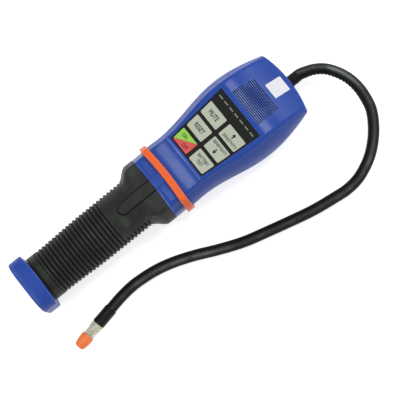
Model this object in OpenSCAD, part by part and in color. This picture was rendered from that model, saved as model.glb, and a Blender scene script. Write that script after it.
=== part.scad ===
// Hand-held refrigerant leak detector with a bendable probe, lying on its back.
// +Y runs from the foot to the head, +X to the right of the keypad, +Z out of the keypad.
// Profiles are written in stations along the axis, counted from the foot's end.

/* [Overall] */
// Length of the body from the foot's end to the head's end
body_len = 228.6; // [224:0.2:240]
// Height of the long axis above the resting face
axis_h = 26; // [25:0.5:29]
// Wall of the moulded shells
wall = 2.4; // [1.8:0.1:2.8]

/* [Head] */
// Greatest width of the head
head_w = 63.6; // [60:0.2:67]
// Width of the head just above the colour band
rim_w = 50.8; // [49:0.2:54]
// Width of the waist between the band and the keypad
neck_w = 50.2; // [49:0.2:53]
// Width of the head at its end corners
end_w = 47.8; // [44:0.2:54]
// Distance of the waist above the colour band
neck_up = 8.5; // [5:0.5:12]
// Distance of the greatest width below the keypad's upper edge
belly_drop = 2; // [-4:0.5:10]
// Radius of the head's end, seen from the front
end_bow_r = 82; // [70:1:120]
// Height of the parting line above the axis
part_h = 0; // [-1:0.5:1]
// Draft of the front shell's side walls, in degrees
front_draft = 16; // [12:0.5:17]
// Draft of the rear shell's side walls, in degrees
back_draft = 9; // [5:0.5:12]
// Height of the front face above the axis at the band
neck_front = 19.5; // [19:0.5:21]
// Height of the front face above the axis at the end
nose_front = 4.5; // [4:0.5:8]
// Depth of the back below the axis at the head's end
end_back = 20; // [18:0.5:23]
// Length over which the back rises to the head's end
heel_len = 24.6; // [18:0.2:32]
// How far the rounding of the front edges reaches
front_soft = 2.4; // [2:0.2:5]
// Bow of the front shell's side walls, as a share of their height
side_bow = 0.05; // [0.02:0.01:0.06]
// Lean at which the nose leaves the keypad's face, in degrees
nose_lean = 9; // [5:0.5:12]
// How far the rounding of the back edges reaches
back_soft = 7; // [4:0.5:9]

/* [Keypad] */
// Share of the head's free length that lies below the keypad
neck_share = 0.4; // [0.3:0.01:0.5]
// Length of the keypad
panel_len = 48; // [46:0.5:50]
// Width of the keypad at its lower edge
panel_w0 = 34.1; // [33:0.1:35]
// Width of the keypad at its upper edge
panel_w1 = 41.8; // [40:0.1:43]
// Height of the front face above the axis at the keypad's lower edge
panel_front = 21.5; // [21:0.1:23]
// Rise of the keypad towards the head, in degrees
panel_tilt = 5; // [3:0.5:7]
// Depth of the keypad's recess
recess = 1.4; // [1.2:0.1:1.6]
// Thickness of the keypad frame
frame_t = 1; // [0.8:0.1:1.2]
// Length of one key along the body
key_h = 10.3; // [9:0.1:10.6]
// Gap between the rows of keys
row_gap = 2.6; // [2:0.1:3]
// Gap between the two columns of keys
col_gap = 3; // [2:0.1:4]
// Margin between the keys and the keypad's edge
key_margin = 1.3; // [1.2:0.1:2]
// How far a key stands above the frame
key_rise = 0.25; // [0.1:0.05:0.6]
// Travel of a key
key_travel = 0.4; // [0.2:0.05:0.5]
// Number of signal lamps
led_count = 7; // [3:1:7]
// Spacing of the signal lamps
led_pitch = 5.44; // [4.5:0.02:5.6]
// Width of a signal lamp
led_w = 3.7; // [3:0.1:4.2]
// Height of a signal lamp
led_h = 0.9; // [0.7:0.1:1.6]
// Distance of the lamps from the keypad's upper edge
led_drop = 4; // [3:0.1:4.5]

/* [Speaker] */
// Share of the head's free length that lies between the keypad and the grille
gap_share = 0.11; // [0.09:0.01:0.2]
// Number of slots
slot_count = 13; // [6:1:13]
// Spacing of the slots
slot_pitch = 1.36; // [1.2:0.02:1.4]
// Width of a slot
slot_w = 0.65; // [0.5:0.05:0.8]
// Length of the lowest slot
slot_len0 = 29; // [24:0.5:30]
// Length of the highest slot
slot_len1 = 26.7; // [22:0.5:28]
// Diameter of the speaker
speaker_d = 20; // [18:0.5:22]

/* [Handle] */
// Width of the foot
foot_w = 43.6; // [40:0.2:46]
// Height of the foot's front above the axis
foot_front = 22; // [20:0.5:24]
// Length of the foot at its middle
foot_len = 12.6; // [11:0.2:14]
// Radius of the foot's arched rim, seen from the front
foot_bow_r = 120; // [80:1:160]
// How far the rounding of the foot's front edges reaches
foot_soft = 14; // [8:0.5:16]
// How far the rounding of the foot's back edges reaches
foot_back_soft = 9; // [5:0.5:12]
// Size of the foot's end chamfer
foot_edge = 1.4; // [0.6:0.1:2]
// Thickness of the foot's floor
foot_floor = 3; // [2:0.2:4]
// Diameter over the grip's upper ribs
grip_d = 36.6; // [36:0.1:38]
// Diameter over the grip's lowest ribs
grip_low_d = 34.4; // [34:0.1:36]
// Station where the grip reaches its full diameter
grip_full_s = 60; // [45:1:70]
// Depth of the grip's ribs
rib_depth = 1; // [0.6:0.1:1.2]
// Spacing of the grip's ribs
rib_pitch = 3.04; // [2.6:0.02:3.6]
// Number of ribs
rib_count = 25; // [16:1:25]
// Number of ribs that cross the front
front_ribs = 18; // [10:1:20]
// Length of the plain band below the ribs
plain_len = 5; // [3:0.2:7]
// Diameter of the battery tube
tube_d = 31.2; // [31:0.1:32]
// Bore of the battery tube
tube_bore = 27; // [26.6:0.1:28]
// Station where the grip starts to flare
flare_s = 93; // [92.5:0.5:95]
// Station where the flare is done
flare_top_s = 105; // [103:0.5:107]
// Width of the tongue on the grip's front
tongue_w = 8.5; // [6:0.1:10]
// Station of the tongue's round end
tongue_s = 82; // [79:0.5:88]
// Depth of the groove round the tongue
groove = 0.8; // [0.4:0.1:1]

/* [Collar] */
// Station of the seam between the grip and the collar
seam_s = 111.7; // [110.5:0.1:113]
// Station of the colour band's lower edge
band_s = 120.4; // [119:0.1:121]
// Height of the colour band along the body
band_len = 5.1; // [4:0.1:6]
// How far the colour band stands out
band_proud = 2; // [1:0.1:2.4]
// Radius of the seam and band lines, seen from the front
bow_r = 240; // [180:5:400]
// Width of the tab in the middle of the collar
tab_w = 7.5; // [5:0.1:10]
// How far that tab stands out
tab_proud = 0.8; // [0.4:0.1:1.2]
// Length of the low pad on each side of the tab
pad_len = 12; // [8:0.5:14]
// Width of those pads along the body
pad_w = 3.4; // [2:0.1:5]
// How far those pads stand out
pad_proud = 0.5; // [0.3:0.1:0.8]

/* [Batteries] */
// Diameter of a cell
cell_d = 26.2; // [25:0.1:26.2]
// Length of a cell with its terminal
cell_len = 50; // [48:0.1:50]

/* [Probe] */
// Diameter of the bendable probe
hose_d = 7.2; // [6.4:0.1:7.4]
// Diameter of the boot that the probe leaves
boot_d = 7.8; // [7.5:0.1:8.4]
// Length of the boot outside the head
boot_out = 7.2; // [6:0.1:7.2]
// Distance of the probe's exit below the axis
exit_drop = 9; // [8:0.1:9]
// Diameter of the sleeve on the probe's end
sleeve_d = 9; // [8.4:0.1:9]
// Length of that sleeve
sleeve_len = 14; // [12:0.1:15]
// Greatest diameter of the sensing tip
tip_d = 8.6; // [8:0.1:8.8]
// Length of the sensing tip that shows
tip_len = 10.4; // [8:0.1:11]
// Greatest diameter of the tip guard
guard_d = 8.8; // [8.4:0.1:9]
// Diameter of the guard's end
guard_end_d = 6.6; // [6:0.1:7.4]
// Length of the guard
guard_len = 10; // [8:0.1:12]
// Turn of the probe's end away from the body, in degrees
tip_turn = 11; // [10:0.5:12]

/* [Clearances] */
// Radial gap round pieces that are pushed together
push_fit = 0.05; // [0.05:0.01:0.1]
// Radial gap round pieces that pull off
slide_fit = 0.3; // [0.2:0.05:0.4]
// Gap round each key and lamp
key_fit = 0.15; // [0.1:0.05:0.3]

/* [Hidden] */
$fn = 48;

// Route of the probe's middle line, from the boot to the end sleeve, in the part's own frame
probe_route = [[0, 121.5, 17], [1.4, 127, 17], [4, 133, 16.8], [7.6, 138, 16.4], [15, 143.6, 15.6],
    [23.4, 147.2, 14.4], [32.4, 148.6, 13], [41.2, 148, 11.4], [48.2, 146.4, 10], [57, 141.6, 8],
    [65.6, 134.4, 6.4], [72.6, 126, 5.2], [76.8, 118.4, 4.4], [80.4, 108, 3.9], [81.2, 98, 3.7],
    [80.2, 88.6, 3.7], [77.8, 72, 3.7], [73.6, 54, 3.7], [69.6, 38.4, 3.7], [64.6, 20.4, 3.7],
    [57.8, 3.6, 3.7], [50.2, -12.8, 3.7], [45.6, -24.8, 3.7], [42.6, -35.4, 3.7], [40.8, -46.6, 3.7],
    [40.2, -58.6, 3.9], [41.2, -69, 4.3], [43.2, -79.6, 4.6]];
probe_sides = 12;

// Small overlap that lets a cut pass cleanly through a face
eps = 0.02;
// How far cutting bodies run past what they cut
over = 5;
end_over = 1;
reach = 200;
// Facets of a rounded edge
corner_steps = 5;
// Rise of the faces of the moulded shells between their edges
crown = 0.2;
// The rounding of a front edge takes at most this share of its side wall
front_share = 0.8;

head_s = band_s + band_len;
panel_rise = tan(panel_tilt);
panel_run = panel_len * cos(panel_tilt);
grille_len = (slot_count - 1) * slot_pitch;
// What the keypad and the grille leave of the head's length is shared out round them
free_len = body_len - head_s - panel_run - grille_len;
panel_s = head_s + neck_share * free_len;
panel_end = panel_s + panel_run;
grille_s = panel_end + gap_share * free_len;
grille_end = grille_s + grille_len;
neck_s = head_s + neck_up;
belly_s = panel_end - belly_drop;
heel_s = body_len - heel_len;
// Flat face round the keypad, up to the crease where the nose starts
flat_below = 2;
flat_above = 3.1;
flat_s0 = panel_s - flat_below;
flat_s1 = panel_end + flat_above;
// Bead across the face below the keypad
sill_drop = 2;
sill_r = 0.9;
sill_h = 0.45;
sill_over = 1;
// The back is lofted a little too deep and then cut flat at the resting face
back_over = 0.5;
back_flat = axis_h + back_over;
back_ramp = 18;
rest_gap = 0.4;
neck_back = axis_h - band_proud - rest_gap;
end_inner_s = body_len - end_w * end_w / 8 / end_bow_r - wall;

tube_r = tube_d / 2;
grip_gap = 0.8;
grip_s = foot_len + grip_gap;
rib_s = grip_s + plain_len;
rib_end = rib_s + rib_count * rib_pitch;
rib_land = rib_pitch / 2;
rib_flank = rib_pitch / 6;
// Ribs stop at the smooth front, which spans this angle
smooth_s = rib_s + front_ribs * rib_pitch;
smooth_turn = 140;
flare_lap = 1;
collar_inset = 0.4;
collar_soft = 0.6;
pad_gap = 1;
pad_mid = 0.55;
foot_steps = 8;
spigot_len = 4;
spigot_gap = 0.4;
tube_top = band_s;
bulkhead = 2.5;
contact_r = 9;
contact_t = 0.6;
contact_s = tube_top - bulkhead - contact_t;
tube_foot = foot_floor + foot_edge;
nub_r = 2.75;
nub_h = 1.8;
cell_edge = 1;
spring_turns = 5;
spring_steps = 14;
spring_sides = 8;
wire_r = 0.6;
spring_r0 = 11;
spring_r1 = 7;

frame_top = frame_t - recess;
// Ledge of the shell that carries the keypad frame
ledge = 1.2;
board_top = -6.4;
board_t = 1.6;
board_over = 1;
board_short = 2;
board_gap = 0.5;
board_end = panel_len - board_short;
post_r = 1.4;
post_low = 4;
post_drop = 9;
post_v = [post_low, panel_len - post_drop];
switch_h = 3.6;
switch_w = 6;
switch_gap = 0.1;
plunger_r = 1.8;
plunger_low = board_top + switch_h + switch_gap + key_travel;
key_v0 = 1.2;

speaker_s = (grille_s + grille_end) / 2;
speaker_drop = 0.8;
speaker_r = speaker_d / 2;
speaker_rim = 5;
speaker_lip = 1;
cone_r = 4;
cone_h = 2;
magnet_r = 8;
magnet_h = 3.6;
ring_t = 2;
ring_h = 20;

boss_r = 3.4;
boss_gap = 0.6;
screw_low_up = 10.5;
screw_high_drop = 15;
// One screw in the neck, and one on each side of the speaker
screw_low_s = head_s + screw_low_up;
screw_high_s = body_len - screw_high_drop;
screw_high_x = speaker_r + boss_r + boss_gap;
screw_at = [[0, screw_low_s], [-screw_high_x, screw_high_s], [screw_high_x, screw_high_s]];
head_r = 2.7;
head_h = 2.2;
shank_r = 1.4;
shank_len = 15;
screw_seat = 6;

motor_r = 9.5;
motor_up = 17.5;
motor_s = head_s + motor_up;
motor_len = 25;
pump_s = motor_s + motor_len;
pump_r = 11;
pump_len = 16;
pump_edge = 3;
nozzle_r = 2;
nozzle_len = 7;
air_s = pump_s + pump_len + nozzle_len;
air_r = 3;
air_bore = 1.6;
cradle_t = 2;
cradle_in = 5;
cradle_at = [motor_s + cradle_in, motor_s + motor_len - cradle_in - cradle_t];
cradle_low = 4;

boot_in = 13;
boot_bore = 2;
nut_r = 7;
nut_t = 4;
edge = 0.5;
tip_start = probe_route[len(probe_route) - 1];
tip_neck_r = 3.9;
nose_r = 2.6;
nose_len = 8;
element_r = 0.9;
guard_hole_r = 1.2;
guard_land = 2;
guard_round = 1.6;

// S-shaped step from 0 to 1
function ease(t) = (1 - cos(180 * max(0, min(1, t)))) / 2;
function mix(a, b, t) = a + (b - a) * t;
function unit(v) = v / norm(v);
// Points strictly between a and b on a bow of height h, seen counter-clockwise
function run(a, b, n, h) =
    let (out = unit([b[1] - a[1], a[0] - b[0]]))
    [for (i = [1 : n - 1]) let (t = i / n) mix(a, b, t) + 4 * t * (1 - t) * h * out];
// A corner at p rounded over the length r of both its sides
function bend(a, p, b, r, n) =
    let (from = p + unit(a - p) * r, to = p + unit(b - p) * r)
    [for (i = [0 : n]) let (t = i / n) mix(mix(from, p, t), mix(p, to, t), t)];

// Half the head's width at a station
function half_w(s) =
    s < neck_s ? mix(rim_w, neck_w, ease((s - head_s) / (neck_s - head_s))) / 2 :
    s < belly_s ? mix(neck_w, head_w, ease((s - neck_s) / (belly_s - neck_s))) / 2 :
    mix(end_w, head_w, cos(90 * (s - belly_s) / (body_len - belly_s))) / 2;
function flat_z(s) = panel_front + (s - panel_s) * panel_rise;
// How much of the nose's height is left at the share t of its length
function nose(t) = cos(mix(nose_lean, 90, t)) / cos(nose_lean);
// Height of the front face above the axis
function front_z(s) =
    s < flat_s0 ? mix(neck_front, flat_z(flat_s0), ease((s - head_s) / (flat_s0 - head_s))) :
    s < flat_s1 ? flat_z(s) :
    mix(nose_front, flat_z(flat_s1), nose((s - flat_s1) / (body_len - flat_s1)));
// Depth of the back below the axis
function back_z(s) =
    s < heel_s ? mix(neck_back, back_flat, ease((s - head_s) / back_ramp)) :
    mix(end_back, back_flat, cos(90 * (s - heel_s) / (body_len - heel_s)));

// Closed section of the head at a station, inset by d, counter-clockwise from the right parting line
function section(s, d) =
    let (hw = half_w(s) - d,
         top = front_z(s) - d,
         low = -back_z(s) + d,
         fw = hw - (front_z(s) - part_h) * tan(front_draft),
         bw = hw - (back_z(s) + part_h) * tan(back_draft),
         n = corner_steps,
         right = [hw, part_h],
         left = [-hw, part_h],
         soft = min(front_soft, front_share * (top - part_h)),
         fr = bend(right, [fw, top], [-fw, top], soft, n),
         fl = bend([fw, top], [-fw, top], left, soft, n),
         bl = bend(left, [-bw, low], [bw, low], back_soft, n),
         br = bend([-bw, low], [bw, low], right, back_soft, n),
         bow = side_bow * norm(fr[0] - right))
    concat([right], run(right, fr[0], 4, bow), fr, run(fr[n], fl[0], 4, crown), fl,
        run(fl[n], left, 4, bow), [left], run(left, bl[0], 3, crown), bl,
        run(bl[n], br[0], 4, crown), br, run(br[n], right, 3, crown));
function ring_at(s, d) = [for (p = section(s, d)) [p[0], s, p[1]]];
// The neck's section, inset by d, set at any station
function neck_ring(s, d) = [for (p = section(head_s, d)) [p[0], s, p[1]]];
// A ring whose points lie on a circle, in the directions of the neck section's points
function round_ring(s, r) = [for (p = section(head_s, 0)) let (q = unit(p) * r) [q[0], s, q[1]]];
function blend_ring(s, r, d) =
    let (t = ease((s - flare_s) / (flare_top_s - flare_s)), a = round_ring(s, r), b = neck_ring(s, d))
    [for (i = [0 : len(a) - 1]) [mix(a[i][0], b[i][0], t), s, mix(a[i][2], b[i][2], t)]];
function steps(a, b, n) = [for (i = [0 : n]) mix(a, b, i / n)];

// Half the keypad's width at the distance v from its lower edge
function half_panel(v) = mix(panel_w0, panel_w1, v / panel_len) / 2;
// Outline of the key in a column (-1 or 1) and a row, grown by d
function key_outline(col, row, d) =
    let (v0 = key_v0 + row * (key_h + row_gap) - d,
         v1 = v0 + key_h + 2 * d,
         inner = col_gap / 2 - d)
    [for (p = [[inner, v0], [half_panel(v0) - key_margin + d, v0],
               [half_panel(v1) - key_margin + d, v1], [inner, v1]]) [col * p[0], p[1]]];
function key_middle(col, row) = let (k = key_outline(col, row, 0)) (k[0] + k[1] + k[2] + k[3]) / 4;
// Outline of the keypad between two distances from its lower edge, grown by d at its sides
function panel_outline(d, v0, v1) =
    let (a = half_panel(v0) + d, b = half_panel(v1) + d)
    [[-a, v0], [a, v0], [b, v1], [-b, v1]];
// Radius over the grip's ribs
function grip_r(s) = mix(grip_low_d, grip_d, ease((s - rib_s) / (grip_full_s - rib_s))) / 2;

speaker_tilt = atan((front_z(grille_end) - front_z(grille_s)) / (grille_end - grille_s));
// The speaker's rim stays below the nose's inner face at its two ends and its middle
speaker_z = min([for (side = [-1, 0, 1]) let (ds = side * speaker_r * cos(speaker_tilt))
    front_z(speaker_s + ds) - wall - ds * tan(speaker_tilt)]) - speaker_drop;

// Moves a piece from axis stations to the part's own frame
module place() { translate([0, -body_len / 2, axis_h]) children(); }
// Lays what was drawn along +Z along the axis, from station s
module along(s) { translate([0, s, 0]) rotate([-90, 0, 0]) children(); }
// The same along the line of the probe's exit
module along_exit(s) { translate([0, 0, -exit_drop]) along(s) children(); }
// The keypad's own frame: X across, Y up the slope, Z out of the face
module on_panel() { translate([0, panel_s, panel_front]) rotate([panel_tilt, 0, 0]) children(); }
module on_speaker() { translate([0, speaker_s, speaker_z]) rotate([speaker_tilt, 0, 0]) children(); }
// The probe's end frame: Z runs along the sensing tip
module on_tip() {
    translate(tip_start) rotate([0, 0, tip_turn]) rotate([90, 0, 0]) children();
}
// Everything on the foot's side of a bowed line through station s
module foot_side(s, r) { translate([0, s - r, -reach]) cylinder(h = 2 * reach, r = r, $fn = 96); }
// A slab of the keypad's frame between two heights
module panel_slab(low, high) { translate([0, 0, low]) linear_extrude(high - low) children(); }

// Solid through a list of closed rings of equal length
module loft(rings) {
    n = len(rings[0]);
    m = len(rings);
    sides = [for (i = [0 : m - 2], j = [0 : n - 1])
        let (a = i * n + j, b = i * n + (j + 1) % n, c = a + n, d = b + n) each [[a, b, d], [a, d, c]]];
    polyhedron([for (r = rings) each r],
        concat(sides, [[for (j = [0 : n - 1]) n - 1 - j]], [[for (j = [0 : n - 1]) (m - 1) * n + j]]));
}
// Neck section, inset by d, drawn out between two stations
module neck_prism(s0, s1, d) {
    translate([0, s1, 0]) rotate([90, 0, 0]) linear_extrude(s1 - s0) polygon(section(head_s, d));
}
// Head section lofted between two stations, inset by d
module head_loft(s0, s1, d) {
    stations = concat([for (i = [0 : 3]) mix(s0, flat_s0, i / 4)],
        [for (i = [0 : 6]) mix(flat_s0, flat_s1, i / 7)], steps(flat_s1, s1, 12));
    loft([for (s = stations) ring_at(s, d)]);
}
module head_outside() {
    intersection() {
        difference() {
            head_loft(head_s - over, body_len + end_over, 0);
            foot_side(head_s, bow_r);
        }
        foot_side(body_len, end_bow_r);
        translate([-reach, 0, -axis_h]) cube([2 * reach, 2 * reach, reach]);
    }
}
module head_inside() { head_loft(head_s - 2 * over, end_inner_s, wall); }
module screw_spots() {
    for (p = screw_at) translate([p[0], p[1], part_h]) children();
}
module board_posts() {
    on_panel() for (v = post_v, side = [-1, 1])
        translate([side * (half_panel(v) - ledge + post_r + eps), v, board_top])
            cylinder(h = -board_top, r = post_r);
}
module speaker_ring() {
    on_speaker() difference() {
        cylinder(h = ring_h, r = speaker_r);
        translate([0, 0, -eps]) cylinder(h = ring_h + over, r = speaker_r - ring_t);
    }
}
module grille_slots() {
    for (i = [0 : slot_count - 1]) {
        s = grille_s + i * slot_pitch;
        slot_len = mix(slot_len0, slot_len1, i / (slot_count - 1));
        translate([-slot_len / 2, s - slot_w / 2, front_z(s) - 2 * wall])
            cube([slot_len, slot_w, 3 * wall]);
    }
}
// Low bead that crosses the face below the keypad
module sill() {
    on_panel() translate([0, -sill_drop, sill_h - sill_r]) rotate([0, 90, 0])
        cylinder(h = panel_w0 + 2 * sill_over, r = sill_r, center = true);
}

module front_shell() {
    color("royalblue") place() difference() {
        intersection() {
            union() {
                head_outside();
                sill();
            }
            translate([-reach, 0, part_h]) cube([2 * reach, 2 * reach, reach]);
        }
        difference() {
            head_inside();
            board_posts();
            speaker_ring();
            screw_spots() cylinder(h = reach, r = boss_r);
        }
        on_panel() panel_slab(-recess, over)
            polygon(panel_outline(push_fit, -push_fit, panel_len + push_fit));
        on_panel() panel_slab(-recess - 2 * wall, 0)
            polygon(panel_outline(-ledge, ledge, panel_len - ledge));
        grille_slots();
        screw_spots() translate([0, 0, -eps])
            cylinder(h = shank_len - screw_seat + edge, r = shank_r - push_fit);
    }
}
module pump_cradles() {
    translate([0, 0, -exit_drop]) for (s = cradle_at) difference() {
        translate([-pump_r, s, -axis_h]) cube([2 * pump_r, cradle_t, axis_h - cradle_low]);
        along(s - over) cylinder(h = cradle_t + 2 * over, r = motor_r + push_fit);
    }
}
module rear_shell() {
    color("mediumblue") place() difference() {
        intersection() {
            head_outside();
            translate([-reach, 0, part_h - reach]) cube([2 * reach, 2 * reach, reach]);
        }
        difference() {
            head_inside();
            screw_spots() translate([0, 0, -reach]) cylinder(h = reach, r = boss_r);
            pump_cradles();
        }
        along_exit(end_inner_s - over) cylinder(h = 3 * over, r = boot_d / 2 + push_fit);
        screw_spots() translate([0, 0, -screw_seat - reach]) cylinder(h = reach, r = head_r + slide_fit);
        screw_spots() translate([0, 0, -reach]) cylinder(h = 2 * reach, r = shank_r + push_fit);
    }
}
module housing_screws() {
    color("silver") place() screw_spots() translate([0, 0, -screw_seat]) {
        translate([0, 0, -head_h]) cylinder(h = head_h, r = head_r);
        translate([0, 0, -eps]) cylinder(h = shank_len, r = shank_r - 2 * push_fit);
    }
}

module lamp_spots() {
    for (i = [0 : led_count - 1])
        translate([(i - (led_count - 1) / 2) * led_pitch, panel_len - led_drop]) children();
}
module keypad_frame() {
    color([0.16, 0.17, 0.15]) place() on_panel() difference() {
        panel_slab(-recess, frame_top) polygon(panel_outline(0, 0, panel_len));
        panel_slab(-over, over) for (col = [-1, 1], row = [0 : 2]) polygon(key_outline(col, row, key_fit));
        panel_slab(-over, over) lamp_spots()
            square([led_w + 2 * key_fit, led_h + 2 * key_fit], center = true);
    }
}
// One key of the keypad with the plunger behind it
module key(col, row) {
    middle = key_middle(col, row);
    place() on_panel() {
        panel_slab(-recess, frame_top + key_rise) polygon(key_outline(col, row, 0));
        translate([middle[0], middle[1], plunger_low])
            cylinder(h = -recess / 2 - plunger_low, r = plunger_r);
    }
}
module key_power() { color([0.6, 0.8, 0.3]) key(-1, 0); }
module key_reset() { color([0.76, 0.78, 0.72]) key(-1, 1); }
module key_mute() { color([0.76, 0.78, 0.72]) key(-1, 2); }
module key_battery_test() { color([0.76, 0.78, 0.72]) key(1, 0); }
module key_sensitivity_down() { color([0.76, 0.78, 0.72]) key(1, 1); }
module key_sensitivity_up() { color([0.76, 0.78, 0.72]) key(1, 2); }

module signal_lamps() {
    color([0.5, 0.52, 0.47]) place() on_panel() panel_slab(board_top, frame_top)
        lamp_spots() square([led_w, led_h], center = true);
}
// The board, with a notch where a short head brings it to the neck's screw boss
module circuit_board() {
    r = boss_r + board_gap;
    color("darkgreen") place() difference() {
        on_panel() panel_slab(board_top - board_t, board_top)
            polygon(panel_outline(board_over, 0, board_end));
        translate([0, screw_low_s, 0]) cylinder(h = reach, r = r);
        translate([-r, screw_low_s - reach, 0]) cube([2 * r, reach, reach]);
    }
}
module key_switches() {
    color("dimgray") place() on_panel() for (col = [-1, 1], row = [0 : 2]) {
        middle = key_middle(col, row);
        translate([middle[0], middle[1], board_top]) {
            linear_extrude(switch_h / 2) square(switch_w, center = true);
            cylinder(h = switch_h, r = plunger_r);
        }
    }
}
module speaker() {
    color("dimgray") place() on_speaker() rotate([180, 0, 0]) rotate_extrude()
        polygon([[0, cone_h], [cone_r, cone_h], [speaker_r - ring_t, 0], [speaker_r, 0],
            [speaker_r, speaker_lip], [magnet_r, speaker_rim], [magnet_r, speaker_rim + magnet_h],
            [0, speaker_rim + magnet_h]]);
}
module pump_motor() {
    color("silver") place() along_exit(motor_s) rotate_extrude()
        polygon([[0, 0], [motor_r - edge, 0], [motor_r, edge], [motor_r, motor_len], [0, motor_len]]);
}
module air_pump() {
    color("dimgray") place() along_exit(pump_s) rotate_extrude()
        polygon([[0, 0], [pump_r, 0], [pump_r, pump_len - pump_edge], [pump_r - pump_edge, pump_len],
            [nozzle_r, pump_len], [nozzle_r, pump_len + nozzle_len], [0, pump_len + nozzle_len]]);
}
module air_hose() {
    color("gainsboro") place() along_exit(air_s) difference() {
        cylinder(h = body_len - boot_in - air_s, r = air_r);
        translate([0, 0, -over]) cylinder(h = reach, r = air_bore);
    }
}

module colour_band() {
    color([0.95, 0.4, 0.15]) place() difference() {
        intersection() {
            neck_prism(band_s - over, head_s + end_over, -band_proud);
            foot_side(head_s, bow_r);
        }
        foot_side(band_s, bow_r);
        neck_prism(band_s - 2 * over, head_s + over, wall + push_fit);
    }
}
// Outside of the collar with its middle tab, longer than its two bowed ends
module collar_body() {
    loft([for (p = [[seam_s - over, collar_soft], [seam_s + collar_soft, 0], [band_s - collar_soft, 0],
        [band_s + collar_soft, collar_soft]]) neck_ring(p[0], collar_inset + p[1])]);
    translate([-tab_w / 2, seam_s - over, 0])
        cube([tab_w, band_s - seam_s + 2 * over, neck_front - collar_inset + tab_proud]);
    pad_x = (tab_w + pad_len) / 2 + pad_gap;
    pad_s = mix(seam_s, band_s, pad_mid);
    for (side = [-1, 1]) translate([side * pad_x, pad_s, neck_front / 2])
        linear_extrude(neck_front / 2 - collar_inset + pad_proud) square([pad_len, pad_w], center = true);
}
module collar() {
    color("royalblue") place() difference() {
        union() {
            intersection() {
                difference() {
                    collar_body();
                    foot_side(seam_s, bow_r);
                }
                foot_side(band_s, bow_r);
            }
            neck_prism(band_s - over, head_s + spigot_len, wall + spigot_gap);
        }
        along(seam_s - 2 * over) cylinder(h = tube_top - seam_s + 2 * over, r = tube_r + push_fit);
        neck_prism(tube_top + bulkhead, head_s + 2 * over, 2 * wall);
    }
}
module battery_tube() {
    color([0.13, 0.14, 0.13]) place() difference() {
        along(tube_foot) cylinder(h = tube_top - tube_foot, r = tube_r);
        along(0) cylinder(h = tube_top - bulkhead, r = tube_bore / 2);
    }
}

// The grip without its groove, inset by d: the ribbed turning, its smooth front and its flare
module grip_body(d) {
    low = grip_s - over;
    high = max(flare_s, rib_end) + flare_lap;
    plain_r = grip_r(rib_s) - d;
    ribs = [for (i = [0 : rib_count - 1]) let (s = rib_s + i * rib_pitch, r = grip_r(s) - d)
        each [[r - rib_depth, s], [r, s + rib_flank], [r, s + rib_flank + rib_land],
              [r - rib_depth, s + 2 * rib_flank + rib_land]]];
    top_r = grip_r(high) - d;
    along(0) rotate_extrude() polygon(concat([[0, low], [plain_r, low], [plain_r, rib_s]], ribs,
        [[top_r, rib_end], [top_r, high], [0, high]]));
    along(0) rotate([0, 0, -90 - smooth_turn / 2]) rotate_extrude(angle = smooth_turn)
        polygon([[0, smooth_s], [top_r, smooth_s], [top_r, high], [0, high]]);
    loft(concat([for (s = steps(flare_s, flare_top_s, 8)) blend_ring(s, top_r + eps, collar_inset + d)],
        [neck_ring(seam_s + end_over, collar_inset + d)]));
}
// Outline of the tongue on the grip's front, grown by d
module tongue_outline(d) {
    r = tongue_w / 2 + d;
    translate([0, tongue_s + tongue_w / 2]) circle(r = r);
    translate([-r, tongue_s + tongue_w / 2]) square([2 * r, seam_s - tongue_s]);
}
module grip_sleeve() {
    color([0.17, 0.18, 0.16]) place() difference() {
        intersection() {
            grip_body(0);
            foot_side(seam_s, bow_r);
        }
        foot_side(grip_s, foot_bow_r + grip_gap);
        difference() {
            linear_extrude(reach) difference() {
                tongue_outline(groove / 2);
                tongue_outline(-groove / 2);
            }
            grip_body(groove);
        }
        along(0) cylinder(h = body_len, r = tube_r + push_fit);
    }
}

// Section of the foot, inset by d
function foot_section(d) =
    let (w = foot_w / 2 - d,
         top = foot_front - d,
         low = -axis_h + d,
         corners = [[w, low], [w, top], [-w, top], [-w, low]],
         soft = [foot_back_soft, foot_soft, foot_soft, foot_back_soft])
    [for (i = [0 : 3])
        each bend(corners[(i + 3) % 4], corners[i], corners[(i + 1) % 4], soft[i], foot_steps)];
module foot_slab(s0, s1, d) {
    translate([0, s1, 0]) rotate([90, 0, 0]) linear_extrude(s1 - s0) polygon(foot_section(d));
}
module battery_cap() {
    color("royalblue") place() difference() {
        intersection() {
            union() {
                hull() {
                    foot_slab(0, eps, foot_edge);
                    foot_slab(foot_edge, 2 * foot_edge, 0);
                }
                foot_slab(2 * foot_edge - eps, foot_len + end_over, 0);
            }
            foot_side(foot_len, foot_bow_r);
        }
        along(foot_floor) cylinder(h = reach, r = tube_r + slide_fit);
    }
}
// Tube of radius r along a path, its end rings square to the two directions given
module tube(path, r, sides, start, end) {
    n = len(path) - 1;
    loft([for (i = [0 : n])
        let (t = unit(i == 0 ? start : i == n ? end : path[i + 1] - path[i - 1]),
             across = unit(cross(t, [0, 0, 1])),
             up = cross(across, t))
        [for (k = [0 : sides - 1]) let (a = 360 * k / sides)
            path[i] + r * (cos(a) * across + sin(a) * up)]]);
}
module contact_spring() {
    low = foot_floor + wire_r + push_fit;
    high = contact_s - 2 * cell_len - wire_r - 2 * push_fit;
    n = spring_turns * spring_steps;
    path = [for (i = [0 : n]) let (t = i / n, a = 360 * spring_turns * t, r = mix(spring_r0, spring_r1, t))
        [r * cos(a), mix(low, high, t), r * sin(a)]];
    color("silver") place() tube(path, wire_r, spring_sides, path[1] - path[0], path[n] - path[n - 1]);
}
module contact_plate() {
    color("goldenrod") place() along(contact_s) cylinder(h = contact_t, r = contact_r);
}
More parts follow.
